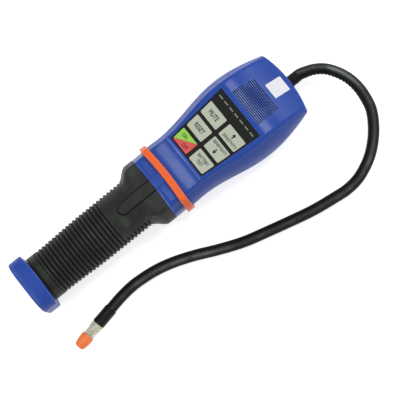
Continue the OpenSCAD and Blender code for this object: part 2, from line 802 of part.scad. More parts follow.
// One round cell with its terminal towards the head
module cell(s) {
    r = cell_d / 2;
    can = cell_len - nub_h;
    place() along(s) rotate_extrude() polygon([[0, 0], [r - cell_edge, 0], [r, cell_edge],
        [r, can - cell_edge], [r - cell_edge, can], [nub_r, can], [nub_r, cell_len], [0, cell_len]]);
}
module cell_front() { color("darkgoldenrod") cell(contact_s - cell_len); }
module cell_rear() { color("darkgoldenrod") cell(contact_s - 2 * cell_len); }

module probe_boot() {
    color([0.14, 0.15, 0.13]) place() along_exit(body_len - boot_in) difference() {
        cylinder(h = boot_in + boot_out, r = boot_d / 2);
        translate([0, 0, -over]) cylinder(h = boot_in, r = boot_bore);
    }
}
module probe_nut() {
    color("goldenrod") place() along_exit(end_inner_s - nut_t) difference() {
        cylinder(h = nut_t, r = nut_r, $fn = 6);
        translate([0, 0, -over]) cylinder(h = reach, r = boot_d / 2 + push_fit);
    }
}
module gooseneck() {
    color([0.14, 0.15, 0.13])
        tube(probe_route, hose_d / 2, probe_sides, [0, 1, 0], [sin(tip_turn), -cos(tip_turn), 0]);
}
module probe_sleeve() {
    r = sleeve_d / 2;
    color([0.14, 0.15, 0.13]) on_tip() rotate_extrude()
        polygon([[0, 0], [r - edge, 0], [r, edge], [r, sleeve_len - edge], [r - edge, sleeve_len],
            [0, sleeve_len]]);
}
module sensing_tip() {
    r = tip_d / 2;
    end = tip_len + nose_len;
    color([0.8, 0.82, 0.7, 0.6]) on_tip() translate([0, 0, sleeve_len]) difference() {
        rotate_extrude() polygon([[0, 0], [r - edge, 0], [r, edge], [r, tip_len / 3],
            [tip_neck_r, tip_len / 2], [tip_neck_r, tip_len], [nose_r, tip_len], [nose_r, end - edge],
            [nose_r - edge, end], [0, end]]);
        translate([0, 0, edge]) cylinder(h = reach, r = element_r + push_fit);
    }
}
module sensor_element() {
    color("silver") on_tip() translate([0, 0, sleeve_len + edge])
        cylinder(h = tip_len + nose_len - 2 * edge, r = element_r);
}
module tip_guard() {
    r0 = guard_d / 2;
    r1 = guard_end_d / 2;
    bore = nose_r + slide_fit;
    inside = nose_len + slide_fit;
    end_round = [for (i = [0 : corner_steps]) let (a = 90 * i / corner_steps)
        [r1 - guard_round * (1 - cos(a)), guard_len - guard_round * (1 - sin(a))]];
    color([1, 0.5, 0.25]) on_tip() translate([0, 0, sleeve_len + tip_len + push_fit]) rotate_extrude()
        polygon(concat([[bore, 0], [r0 - edge, 0], [r0, edge], [r0, guard_land]], end_round,
            [[guard_hole_r, guard_len], [guard_hole_r, inside], [bore, inside]]));
}

front_shell();
rear_shell();
housing_screws();
keypad_frame();
key_power();
key_reset();
key_mute();
key_sensitivity_up();
key_sensitivity_down();
key_battery_test();
signal_lamps();
circuit_board();
key_switches();
speaker();
pump_motor();
air_pump();
air_hose();
colour_band();
collar();
battery_tube();
grip_sleeve();
battery_cap();
contact_spring();
contact_plate();
cell_front();
cell_rear();
probe_boot();
probe_nut();
gooseneck();
probe_sleeve();
sensing_tip();
sensor_element();
tip_guard();
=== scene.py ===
import logging
import math
from dataclasses import dataclass, field
from enum import Enum

import bmesh
import bpy
import numpy as np
from mathutils import Matrix, Vector


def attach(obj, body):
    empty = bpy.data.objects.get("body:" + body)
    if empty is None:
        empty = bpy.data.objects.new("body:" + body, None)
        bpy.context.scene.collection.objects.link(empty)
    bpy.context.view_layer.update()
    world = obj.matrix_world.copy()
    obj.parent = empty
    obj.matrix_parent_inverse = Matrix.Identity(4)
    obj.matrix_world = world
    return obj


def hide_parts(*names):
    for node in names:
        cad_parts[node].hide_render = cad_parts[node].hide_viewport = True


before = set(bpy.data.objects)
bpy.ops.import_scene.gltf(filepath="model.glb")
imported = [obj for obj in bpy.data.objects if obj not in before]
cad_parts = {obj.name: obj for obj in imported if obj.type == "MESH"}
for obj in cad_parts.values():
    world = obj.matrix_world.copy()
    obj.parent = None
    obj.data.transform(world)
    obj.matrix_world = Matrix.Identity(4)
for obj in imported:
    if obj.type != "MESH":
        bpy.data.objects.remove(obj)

LOG = logging.getLogger("leak_detector")
MM = 0.001
MERGE_AT = 2e-7
SLIVER_AT = 1e-7
EDGE_STEPS = 6
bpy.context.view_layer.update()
Colour = tuple[float, float, float, float]


class Ends(Enum):
    """How the rows of a grid of points end."""

    LOOP = "the last row joins the first"
    POLES = "the first and the last row have shrunk to points"


class Body(Enum):
    """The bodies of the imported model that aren't keys."""

    DETECTOR = "detector"
    DOOR = "battery_door"
    GUARD = "guard"


def srgb(red: int, green: int, blue: int) -> Colour:
    """Turns a screen colour of 0 to 255 into linear light.

    Args:
        red: Red on the screen.
        green: Green on the screen.
        blue: Blue on the screen.

    Returns:
        The linear colour with full alpha.
    """
    c = np.array([red, green, blue]) / 255.0
    low = np.where(c <= 0.04045, c / 12.92, ((c + 0.055) / 1.055) ** 2.4)
    return (float(low[0]), float(low[1]), float(low[2]), 1.0)


def ease(t: np.ndarray) -> np.ndarray:
    """S-shaped step: half of one minus the cosine of a half turn times t, held to 0 and 1 outside."""
    return 0.5 - 0.5 * np.cos(np.pi * np.clip(t, 0.0, 1.0))


def mix(a: np.ndarray, b: np.ndarray, t: np.ndarray) -> np.ndarray:
    """Straight blend from a at t = 0 to b at t = 1."""
    return a + (b - a) * t


def bump(t: np.ndarray) -> np.ndarray:
    """A bell of height 1 at t = 0 that has faded at t = 1 and t = -1."""
    return np.exp(-4.0 * t * t)


def sagitta(x: np.ndarray, radius: float) -> np.ndarray:
    """How far a circle through the origin has fallen back at the distance x from its crown."""
    return radius - np.sqrt(np.maximum(radius * radius - x * x, 0.0))


def quarter(steps: int) -> tuple[np.ndarray, np.ndarray]:
    """A quarter turn in steps: how far it has drawn in and how far it has risen, both from 0 to 1."""
    a = np.linspace(0.0, np.pi / 2, steps)
    return 1.0 - np.cos(a), np.sin(a)


def surface(name: str, rows: np.ndarray, ends: Ends, crease: float = 32.0,
            marks: dict[str, np.ndarray] | None = None) -> bpy.types.Object:
    """Makes a closed mesh from a grid of points.

    Each quad joins a point with its neighbours along both parameters. The columns always close
    into a ring, and the rows either close too or shrink to a point at both ends. Points that fall
    together are merged, and the faces are turned outwards by the sign of the enclosed volume.

    Args:
        name: Name of the piece.
        rows: Points in millimetres, as rows by columns by three.
        ends: How the rows end.
        crease: Edges sharper than this, in degrees, stay sharp.
        marks: Values to store on the points, by name, each as rows by columns.

    Returns:
        The new object, at the origin.
    """
    n, m, _ = rows.shape
    points = rows.reshape(-1, 3) * MM
    i = np.arange(n if ends is Ends.LOOP else n - 1)[:, None]
    j = np.arange(m)[None, :]
    up, right = (i + 1) % n, (j + 1) % m
    quads = np.stack([i * m + j, i * m + right, up * m + right, up * m + j], -1).reshape(-1, 4)
    a, b, c, d = (points[quads[:, k]] for k in range(4))
    volume = np.einsum("ij,ij->", a, np.cross(b, c)) + np.einsum("ij,ij->", a, np.cross(c, d))
    if volume < 0:
        quads = quads[:, ::-1]
    mesh = bpy.data.meshes.new(name)
    mesh.from_pydata(points, [], quads)
    for mark, values in (marks or {}).items():
        layer = mesh.attributes.new(mark, "FLOAT", "POINT")
        layer.data.foreach_set("value", np.ascontiguousarray(values, np.float32).ravel())
    return finish_mesh(name, mesh, crease)


def finish_mesh(name: str, mesh: bpy.types.Mesh, crease: float) -> bpy.types.Object:
    """Merges a mesh's doubles, shades it and puts it into the scene.

    Args:
        name: Name of the piece.
        mesh: The mesh, in metres.
        crease: Edges sharper than this, in degrees, stay sharp.

    Returns:
        The new object, at the origin.
    """
    work = bmesh.new()
    work.from_mesh(mesh)
    bmesh.ops.remove_doubles(work, verts=work.verts, dist=MERGE_AT)
    bmesh.ops.dissolve_degenerate(work, edges=work.edges, dist=SLIVER_AT)
    work.to_mesh(mesh)
    work.free()
    mesh.polygons.foreach_set("use_smooth", np.ones(len(mesh.polygons), bool))
    mesh.set_sharp_from_angle(angle=math.radians(crease))
    mesh.update()
    piece = bpy.data.objects.new(name, mesh)
    bpy.context.scene.collection.objects.link(piece)
    return piece


def soft_polygon(corners: np.ndarray, reach: float | np.ndarray, steps: int) -> np.ndarray:
    """Rounds every corner of a closed polygon.

    Each corner becomes a quadratic curve that leaves one side and meets the next at the distance
    reach from the corner.

    Args:
        corners: The corners, as count by two.
        reach: How far the rounding reaches along both sides, for all corners or for each.
        steps: Points on each rounding.

    Returns:
        The rounded outline, as points by two.
    """
    far = np.broadcast_to(np.asarray(reach, float), corners.shape[:1])[:, None]
    back = np.roll(corners, 1, 0) - corners
    on = np.roll(corners, -1, 0) - corners
    start = corners + back / np.linalg.norm(back, axis=1, keepdims=True) * far
    end = corners + on / np.linalg.norm(on, axis=1, keepdims=True) * far
    t = np.linspace(0.0, 1.0, steps)[None, :, None]
    p, q, r = start[:, None], corners[:, None], end[:, None]
    return mix(mix(p, q, t), mix(q, r, t), t).reshape(-1, 2)


def even_ring(ring: np.ndarray, count: int) -> np.ndarray:
    """Spreads points evenly along a closed outline.

    Args:
        ring: The outline, as points by two.
        count: Number of points.

    Returns:
        The new outline, which starts at the same point.
    """
    loop = np.concatenate([ring, ring[:1]])
    run = np.concatenate([[0.0], np.cumsum(np.linalg.norm(np.diff(loop, axis=0), axis=1))])
    at = np.linspace(0.0, run[-1], count, endpoint=False)
    return np.stack([np.interp(at, run, loop[:, k]) for k in range(2)], -1)


def drawn_in(corners: np.ndarray, inset: float) -> np.ndarray:
    """Moves all sides of a counter-clockwise polygon in by the same distance.

    Each corner moves along the sum of the inward directions of its two sides, divided by one plus
    their dot product.

    Args:
        corners: The corners, as count by two.
        inset: How far the sides move.

    Returns:
        The new corners.
    """
    side = np.roll(corners, -1, 0) - corners
    side = side / np.linalg.norm(side, axis=1, keepdims=True)
    inward = np.stack([-side[:, 1], side[:, 0]], -1)
    before = np.roll(inward, 1, 0)
    return corners + inset * (inward + before) / (1.0 + np.sum(inward * before, 1, keepdims=True))


def plate(corners: np.ndarray, reach: float, low: float, high: float, edge: float,
          count: int = 96) -> np.ndarray:
    """A plate with a rounded outline and a rounded upper edge.

    Its rows go from the middle of the underside to the outline, straight up the wall, round a
    quarter circle of the edge's radius and over the top to its middle.

    Args:
        corners: The outline's corners, counter-clockwise.
        reach: How far the rounding of the corners reaches.
        low: Height of the underside.
        high: Height of the top.
        edge: Radius of the upper edge.
        count: Points round the outline.

    Returns:
        The grid of points in the plate's own frame.
    """
    draw, rise = quarter(EDGE_STEPS)
    inset = np.concatenate([[0.0], edge * draw])
    height = np.concatenate([[low], high - edge + edge * rise])
    rings = np.stack([even_ring(soft_polygon(drawn_in(corners, float(d)), reach, EDGE_STEPS), count)
                      for d in inset])
    middle = corners.mean(0)
    share = np.linspace(1.0, 0.0, 9)[1:, None, None]
    flat = np.concatenate([np.broadcast_to(middle, rings[:1].shape), rings, mix(middle, rings[-1:], share)])
    heights = np.concatenate([[low], height, np.full(share.size, high)])
    return np.concatenate([flat, np.broadcast_to(heights[:, None, None], flat[..., :1].shape)], -1)


def turned(profile: np.ndarray, sides: int) -> np.ndarray:
    """Turns a profile of radius and height round the Z axis.

    Args:
        profile: Radius and height of each row.
        sides: Points round the axis.

    Returns:
        The grid of points, as rows by sides by three.
    """
    a = np.linspace(0.0, 2.0 * np.pi, sides, endpoint=False)[None, :]
    r, h = profile[:, :1], profile[:, 1:]
    return np.stack([r * np.cos(a), r * np.sin(a), np.broadcast_to(h, (h.shape[0], sides))], -1)


class Graph:
    """A short way to write the nodes of one tree."""

    def __init__(self, tree: bpy.types.NodeTree) -> None:
        """Keeps the tree that the nodes go into."""
        self.tree = tree

    def add(self, kind: str, values: dict | None = None, **settings: object) -> bpy.types.Node:
        """Adds one node.

        Args:
            kind: The node's type.
            values: Its inputs by name or number, each a constant or the socket to link.
            settings: Its own settings.

        Returns:
            The new node.
        """
        node = self.tree.nodes.new(kind)
        for key, value in settings.items():
            setattr(node, key, value)
        for key, value in (values or {}).items():
            self.feed(node.inputs[key], value)
        return node

    def feed(self, socket: bpy.types.NodeSocket, value: object) -> None:
        """Links a socket to an input, or sets the input to a constant.

        Args:
            socket: The input.
            value: The socket to link, or the constant.
        """
        if isinstance(value, bpy.types.NodeSocket):
            self.tree.links.new(value, socket)
        else:
            socket.default_value = value

    def maths(self, operation: str, a: object, b: object = 0.0) -> bpy.types.NodeSocket:
        """Adds a Math node of two inputs and gives its value."""
        return self.add("ShaderNodeMath", {0: a, 1: b}, operation=operation).outputs[0]

    def ramp(self, value: object, low: float, high: float) -> bpy.types.NodeSocket:
        """Stretches a value from low and high to 0 and 1 with a soft start and end."""
        values = {"Value": value, "From Min": low, "From Max": high}
        return self.add("ShaderNodeMapRange", values, interpolation_type="SMOOTHSTEP").outputs[0]

    def blend(self, factor: object, a: object, b: object) -> bpy.types.NodeSocket:
        """Blends two colours and gives the colour."""
        return self.add("ShaderNodeMix", {0: factor, 6: a, 7: b}, data_type="RGBA").outputs[2]

    def where(self) -> bpy.types.NodeSocket:
        """Gives the Object coordinates."""
        return self.add("ShaderNodeTexCoord").outputs["Object"]

    def noise(self, where: object, scale: object, detail: float) -> bpy.types.NodeSocket:
        """Adds a Noise node on the given coordinates and gives its value."""
        values = {"Vector": where, "Scale": scale, "Detail": detail}
        return self.add("ShaderNodeTexNoise", values).outputs[0]

    def mark(self, name: str) -> bpy.types.NodeSocket:
        """Gives a value that is stored on the mesh."""
        return self.add("ShaderNodeAttribute", attribute_name=name).outputs["Fac"]


class Effects:
    """Shader node groups that several finishes share.

    Scales are those of the noise, in spots per metre. A range is the stretch of the noise over which
    a mark grows from nothing to full.
    """

    sway_share: float = 0.6
    cloud_scale: float = 60.0
    cloud_range: tuple[float, float] = (0.42, 0.72)
    scuff_scale: tuple[float, float, float] = (900.0, 120.0, 500.0)
    scuff_range: tuple[float, float] = (0.66, 0.8)
    scuff_share: float = 0.06
    edge_least: float = 0.35
    haze: float = 0.08
    shade_dull: float = 0.3
    matt_dull: float = 0.4

    def __init__(self) -> None:
        """Builds each group once."""
        self.grain = self._grain()
        self.wear_and_painted_light = self._wear_and_painted_light()

    @staticmethod
    def _group(name: str, takes: dict[str, tuple[str, object]], gives: dict[str, str]) -> tuple:
        """Starts a group with named sockets.

        Args:
            name: Name of the group.
            takes: Inputs, each with its socket type and default.
            gives: Outputs, each with its socket type.

        Returns:
            The tree, its writer, its inputs and its outputs.
        """
        tree = bpy.data.node_groups.new(name, "ShaderNodeTree")
        for label, (kind, default) in takes.items():
            tree.interface.new_socket(label, in_out="INPUT", socket_type=kind).default_value = default
        for label, kind in gives.items():
            tree.interface.new_socket(label, in_out="OUTPUT", socket_type=kind)
        graph = Graph(tree)
        return tree, graph, graph.add("NodeGroupInput").outputs, graph.add("NodeGroupOutput").inputs

    def _grain(self) -> bpy.types.NodeTree:
        """Spark-eroded mould grain: small pits, and a slow unevenness of the surface under them.

        Returns:
            The group.
        """
        takes = {"Grain": ("NodeSocketFloat", 2500.0), "Sway": ("NodeSocketFloat", 90.0)}
        gives = {"Height": "NodeSocketFloat", "Sway": "NodeSocketFloat"}
        tree, graph, into, out = self._group("mould_grain", takes, gives)
        where = graph.where()
        pits = graph.noise(where, into["Grain"], 2.0)
        sway = graph.noise(where, into["Sway"], 3.0)
        height = graph.maths("ADD", pits, graph.maths("MULTIPLY", sway, self.sway_share))
        graph.feed(out["Height"], height)
        graph.feed(out["Sway"], sway)
        return tree

    def _wear_and_painted_light(self) -> bpy.types.NodeTree:
        """Handling marks and painted light: rubbed places and fine scuffs, edges lightened as wear and
        painted highlight, and painted shade in hollows, which change colour and gloss.

        Returns:
            The group.
        """
        takes = {"Fresh": ("NodeSocketColor", (0.5, 0.5, 0.5, 1.0)),
                 "Lightened": ("NodeSocketColor", (0.6, 0.6, 0.6, 1.0)),
                 "Shade Colour": ("NodeSocketColor", (0.1, 0.1, 0.1, 1.0)),
                 "Worn And Lit": ("NodeSocketFloat", 0.0), "Painted Shade": ("NodeSocketFloat", 0.0),
                 "Matt": ("NodeSocketFloat", 0.0),
                 "Gloss": ("NodeSocketFloat", 0.4), "Spread": ("NodeSocketFloat", 0.12)}
        gives = {"Colour": "NodeSocketColor", "Roughness": "NodeSocketFloat"}
        tree, graph, into, out = self._group("handling_wear_and_painted_light", takes, gives)
        where = graph.where()
        cloud = graph.ramp(graph.noise(where, self.cloud_scale, 4.0), *self.cloud_range)
        streak = graph.add("ShaderNodeMapping", {"Vector": where, "Scale": self.scuff_scale}).outputs[0]
        scuff = graph.ramp(graph.noise(streak, 1.0, 2.0), *self.scuff_range)
        scuff = graph.maths("MULTIPLY", scuff, self.scuff_share)
        edge = graph.maths("MULTIPLY", into["Worn And Lit"], graph.maths("ADD", cloud, self.edge_least))
        share = graph.maths("ADD", graph.maths("MULTIPLY", cloud, into["Spread"]),
                            graph.maths("ADD", edge, scuff))
        worn_and_lit = graph.blend(share, into["Fresh"], into["Lightened"])
        graph.feed(out["Colour"], graph.blend(into["Painted Shade"], worn_and_lit, into["Shade Colour"]))
        haze = graph.maths("MULTIPLY", graph.maths("SUBTRACT", cloud, 0.5), self.haze)
        dull = graph.maths("ADD", scuff, graph.maths("MULTIPLY", into["Painted Shade"], self.shade_dull))
        dull = graph.maths("ADD", dull, graph.maths("MULTIPLY", into["Matt"], self.matt_dull))
        graph.feed(out["Roughness"], graph.maths("ADD", graph.maths("ADD", into["Gloss"], haze), dull))
        return tree


def start_material(name: str) -> tuple[bpy.types.Material, Graph, bpy.types.Node]:
    """Starts a material with an empty Principled shader.

    Args:
        name: Name of the material.

    Returns:
        The material, the writer of its nodes and its shader.
    """
    material = bpy.data.materials.new(name)
    material.use_nodes = True
    graph = Graph(material.node_tree)
    graph.tree.nodes.clear()
    shader = graph.add("ShaderNodeBsdfPrincipled")
    graph.add("ShaderNodeOutputMaterial", {"Surface": shader.outputs[0]})
    return material, graph, shader


@dataclass(frozen=True)
class Moulding:
    """A moulded, painted or plated finish with grain, handling marks, painted highlights and painted shade in
    hollows.
    """

    name: str
    fresh: Colour
    lightened: Colour
    gloss: float = 0.4
    spread: float = 0.12
    grain: float = 2500.0
    sway: float = 90.0
    relief: float = 0.00002
    metal: float = 0.0
    specular: float = 0.5
    shade_colour: Colour = (0.0, 0.0, 0.0, 1.0)
    crest_mark: str = ""
    shade_mark: str = ""
    matt_mark: str = ""

    def build(self, effects: Effects) -> bpy.types.Material:
        """Builds the material.

        Args:
            effects: The shared node groups.

        Returns:
            The material.
        """
        material, graph, shader = start_material(self.name)
        values = {"Fresh": self.fresh, "Lightened": self.lightened, "Shade Colour": self.shade_colour, "Gloss": self.gloss,
                  "Spread": self.spread}
        wear_and_painted_light = graph.add("ShaderNodeGroup", node_tree=effects.wear_and_painted_light)
        for label, value in values.items():
            graph.feed(wear_and_painted_light.inputs[label], value)
        for label, mark in {"Worn And Lit": self.crest_mark, "Painted Shade": self.shade_mark, "Matt": self.matt_mark}.items():
            if mark:
                graph.feed(wear_and_painted_light.inputs[label], graph.mark(mark))
        grain = graph.add("ShaderNodeGroup", node_tree=effects.grain)
        graph.feed(grain.inputs["Grain"], self.grain)
        graph.feed(grain.inputs["Sway"], self.sway)
        relief = graph.add("ShaderNodeBump", {"Height": grain.outputs["Height"], "Distance": self.relief})
        graph.feed(shader.inputs["Base Color"], wear_and_painted_light.outputs["Colour"])
        graph.feed(shader.inputs["Roughness"], wear_and_painted_light.outputs["Roughness"])
        graph.feed(shader.inputs["Normal"], relief.outputs[0])
        shader.inputs["Metallic"].default_value = self.metal
        shader.inputs["Specular IOR Level"].default_value = self.specular
        return material


@dataclass(frozen=True)
class SplitFilm:
    """A printed film in two colours that meet on a slanted line.

    The line goes through a point in millimetres. Its widths and the relief are in metres.
    """

    name: str
    first: Colour
    second: Colour
    line: Colour
    through: tuple[float, float]
    slope: tuple[float, float]
    gloss: float = 0.42
    specular: float = 0.3
    spread: float = 0.05
    grain: float = 5200.0
    relief: float = 0.000008
    meet: float = 0.00006
    line_half: float = 0.00008
    line_end: float = 0.0002

    def build(self, effects: Effects) -> bpy.types.Material:
        """Builds the material: the side of the line is the sign of a sum of X and Y.

        Args:
            effects: The shared node groups.

        Returns:
            The material.
        """
        material, graph, shader = start_material(self.name)
        part = graph.add("ShaderNodeSeparateXYZ", {0: graph.where()}).outputs
        x, y = (graph.maths("MULTIPLY", graph.maths("SUBTRACT", part[k], self.through[k] * MM), self.slope[k])
                for k in range(2))
        off = graph.maths("ADD", x, y)
        side = graph.ramp(off, -self.meet, self.meet)
        clear = graph.ramp(graph.maths("ABSOLUTE", off), self.line_half, self.line_end)
        print_colour = graph.blend(clear, self.line, graph.blend(side, self.first, self.second))
        wear_and_painted_light = graph.add("ShaderNodeGroup", node_tree=effects.wear_and_painted_light)
        for label, value in {"Fresh": print_colour, "Gloss": self.gloss, "Spread": self.spread}.items():
            graph.feed(wear_and_painted_light.inputs[label], value)
        grain = graph.add("ShaderNodeGroup", node_tree=effects.grain)
        graph.feed(grain.inputs["Grain"], self.grain)
        relief = graph.add("ShaderNodeBump", {"Height": grain.outputs["Height"], "Distance": self.relief})
        graph.feed(shader.inputs["Base Color"], wear_and_painted_light.outputs["Colour"])
        graph.feed(shader.inputs["Roughness"], wear_and_painted_light.outputs["Roughness"])
        graph.feed(shader.inputs["Normal"], relief.outputs[0])
        shader.inputs["Specular IOR Level"].default_value = self.specular
        return material


@dataclass(frozen=True)
class ClearPlastic:
    """A milky clear moulding with soft streaks along its length."""

    name: str
    pale: Colour
    deep: Colour
    turn: float
    rough: float = 0.2
    clear: float = 0.4
    streak_scale: tuple[float, float, float] = (420.0, 30.0, 420.0)
    streak_range: tuple[float, float] = (0.38, 0.62)
    grain: float = 1600.0
    relief: float = 0.000006
    ior: float = 1.49

    def build(self, effects: Effects) -> bpy.types.Material:
        """Builds the material: noise that is drawn out along the turned length blends two tints.

        Args:
            effects: The shared node groups.

        Returns:
            The material.
        """
        material, graph, shader = start_material(self.name)
        values = {"Vector": graph.where(), "Rotation": (0.0, 0.0, math.radians(-self.turn)),
                  "Scale": self.streak_scale}
        along = graph.add("ShaderNodeMapping", values).outputs[0]
        streak = graph.ramp(graph.noise(along, 1.0, 1.0), *self.streak_range)
        grain = graph.add("ShaderNodeGroup", node_tree=effects.grain)
        graph.feed(grain.inputs["Grain"], self.grain)
        relief = graph.add("ShaderNodeBump", {"Height": grain.outputs["Height"], "Distance": self.relief})
        graph.feed(shader.inputs["Base Color"], graph.blend(streak, self.pale, self.deep))
        graph.feed(shader.inputs["Normal"], relief.outputs[0])
        shader.inputs["Roughness"].default_value = self.rough
        shader.inputs["Transmission Weight"].default_value = self.clear
        shader.inputs["IOR"].default_value = self.ior
        return material


FINISHES: dict[str, Moulding | SplitFilm | ClearPlastic] = {
    # The housing's lightened colour serves as its painted highlights. Its shade colour is painted shade in
    # the slots, with the dark cloth behind them.
    "housing": Moulding("housing_blue", srgb(33, 70, 160), srgb(104, 126, 190), 0.27, 0.03, 2600.0, 90.0,
                        0.000007, specular=0.2, shade_colour=srgb(12, 18, 80), crest_mark="crest", shade_mark="painted_shade",
                        matt_mark="matt"),
    # The grip's lightened colour is rib wear plus a painted highlight. Its shade colour is painted shade in
    # the grooves.
    "grip": Moulding("grip_black", srgb(22, 25, 21), srgb(98, 104, 96), 0.5, 0.06, 2100.0, 120.0, 0.00003,
                     specular=0.2, shade_colour=srgb(4, 5, 4), crest_mark="crest", shade_mark="painted_shade"),
    "tube": Moulding("tube_black", srgb(30, 32, 30), srgb(56, 58, 54), 0.45, specular=0.25),
    "keypad": Moulding("keypad_black", srgb(18, 21, 18), srgb(42, 45, 41), 0.4, 0.1, 5200.0, 160.0, 0.000008,
                       specular=0.12),
    "key": Moulding("key_film", srgb(184, 190, 172), srgb(200, 204, 190), 0.42, 0.14, 5200.0, 160.0, 0.000008,
                    specular=0.3),
    "power": SplitFilm("key_film_power", srgb(148, 206, 76), srgb(214, 78, 70), srgb(70, 66, 40),
                       (-9.1, 33.2), (1.0, -1.45)),
    "lamp": Moulding("lamp_window", srgb(124, 129, 116), srgb(150, 154, 140), 0.3, 0.2, 1500.0, 200.0,
                     0.00001, specular=0.3),
    "ink": Moulding("legend_ink", srgb(18, 20, 17), srgb(40, 42, 38), 0.5, specular=0.2),
    "ink_green": Moulding("legend_ink_green", srgb(30, 72, 34), srgb(60, 104, 52), 0.5, specular=0.2),
    "ink_red": Moulding("legend_ink_red", srgb(92, 14, 22), srgb(120, 40, 44), 0.5, specular=0.2),
    "label": Moulding("label_white", srgb(229, 230, 236), srgb(216, 217, 223), 0.4, 0.2, 4000.0, 140.0,
                      0.000006, specular=0.3),
    "band": Moulding("band_orange", srgb(238, 100, 36), srgb(244, 134, 78), 0.42, 0.12, 2600.0, 90.0,
                     0.000014, specular=0.3),
    "guard": Moulding("guard_orange", srgb(255, 126, 62), srgb(255, 160, 112), 0.34, 0.12, 2200.0, 120.0,
                      0.00002, specular=0.35),
    # The hose's lightened colour is mostly its painted highlight streak.
    "hose": Moulding("hose_black", srgb(7, 8, 7), srgb(158, 166, 156), 0.42, 0.01, 2400.0, 160.0, 0.000008,
                     specular=0.12, shade_colour=srgb(2, 2, 2), crest_mark="crest", shade_mark="painted_shade"),
    "rubber": Moulding("sleeve_rubber", srgb(10, 11, 10), srgb(58, 61, 56), 0.4, 0.12, 1800.0, 160.0, 0.00002,
                       specular=0.16),
    "clear": ClearPlastic("tip_clear", srgb(242, 243, 222), srgb(200, 202, 176), 11.0),
    "steel": Moulding("plated_steel", srgb(176, 178, 178), srgb(200, 200, 196), 0.3, 0.3, 3000.0, 200.0,
                      0.000008, metal=1.0),
    "brass": Moulding("contact_brass", srgb(190, 158, 84), srgb(150, 122, 66), 0.34, 0.4, 3000.0, 200.0,
                      0.000008, metal=1.0),
    "board": Moulding("board_green", srgb(28, 92, 50), srgb(60, 120, 72), 0.35, 0.2, 1800.0, 140.0, 0.00002),
    "dark_part": Moulding("part_grey", srgb(62, 63, 66), srgb(92, 92, 94), 0.5, 0.2),
    "wrap": Moulding("cell_wrap", srgb(168, 134, 66), srgb(196, 168, 104), 0.3, 0.2, 1600.0, 60.0, 0.00001,
                     metal=0.5),
    "soft_tube": Moulding("soft_tube", srgb(214, 214, 206), srgb(190, 188, 176), 0.35, 0.3),
}
CAD_FINISHES: dict[str, str] = {
    "housing_screws": "steel", "keypad_frame": "keypad", "signal_lamps": "lamp", "circuit_board": "board",
    "key_switches": "dark_part", "speaker": "dark_part", "pump_motor": "steel", "air_pump": "dark_part",
    "air_hose": "soft_tube", "battery_tube": "tube", "contact_spring": "steel", "contact_plate": "brass",
    "cell_front": "wrap", "cell_rear": "wrap", "probe_nut": "brass", "sensor_element": "steel",
}


class Workshop:
    """Keeps the materials and puts finished pieces on their bodies."""

    def __init__(self) -> None:
        """Builds the shared effects and every finish."""
        effects = Effects()
        self.materials = {key: finish.build(effects) for key, finish in FINISHES.items()}

    def dress(self, piece: bpy.types.Object, finish: str, body: str, slot: str,
              *nodes: str) -> bpy.types.Object:
        """Gives a piece its finish, its body and the solids it stands for.

        Args:
            piece: The finished piece.
            finish: Its finish.
            body: The body it rides on.
            slot: The record's material slot; not used.
            nodes: The solids that it stands for.

        Returns:
            The piece.
        """
        piece.data.materials.clear()
        piece.data.materials.append(self.materials[finish])
        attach(piece, body)
        if nodes:
            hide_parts(*nodes)
        LOG.info("%s: %d faces on %s", piece.name, len(piece.data.polygons), body)
        return piece

    def dress_solids(self) -> None:
        """Gives the solids that stay in view their finishes."""
        for node, finish in CAD_FINISHES.items():
            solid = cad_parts[node]
            solid.data.materials.clear()
            solid.data.materials.append(self.materials[finish])
            LOG.info("%s keeps its solid, in %s", node, finish)


class Stretch(Enum):
    """The stretches of half a head section, from the parting line to the middle."""

    WALL = 0
    BEND = 1
    OUTER = 2
    INNER = 3


@dataclass
class Columns:
    """The columns of half a head section, from the parting line to the middle."""

    walls: int = 11
    bends: int = 9
    outer: int = 7
    inner: int = 6
    part: np.ndarray = field(init=False)
    t: np.ndarray = field(init=False)

    def __post_init__(self) -> None:
        """Lays out which stretch each column lies on, and how far along it."""
        counts = (self.walls, self.bends, self.outer, self.inner)
        self.part = np.repeat([stretch.value for stretch in Stretch], counts)
        self.t = np.concatenate([np.linspace(0.0, 1.0, n) for n in counts])


@dataclass
class ShellRows:
    """The rows of a shell: where they lie and what the middle columns do there."""

    stations: np.ndarray
    sunk: np.ndarray
    bead: np.ndarray
    split: np.ndarray


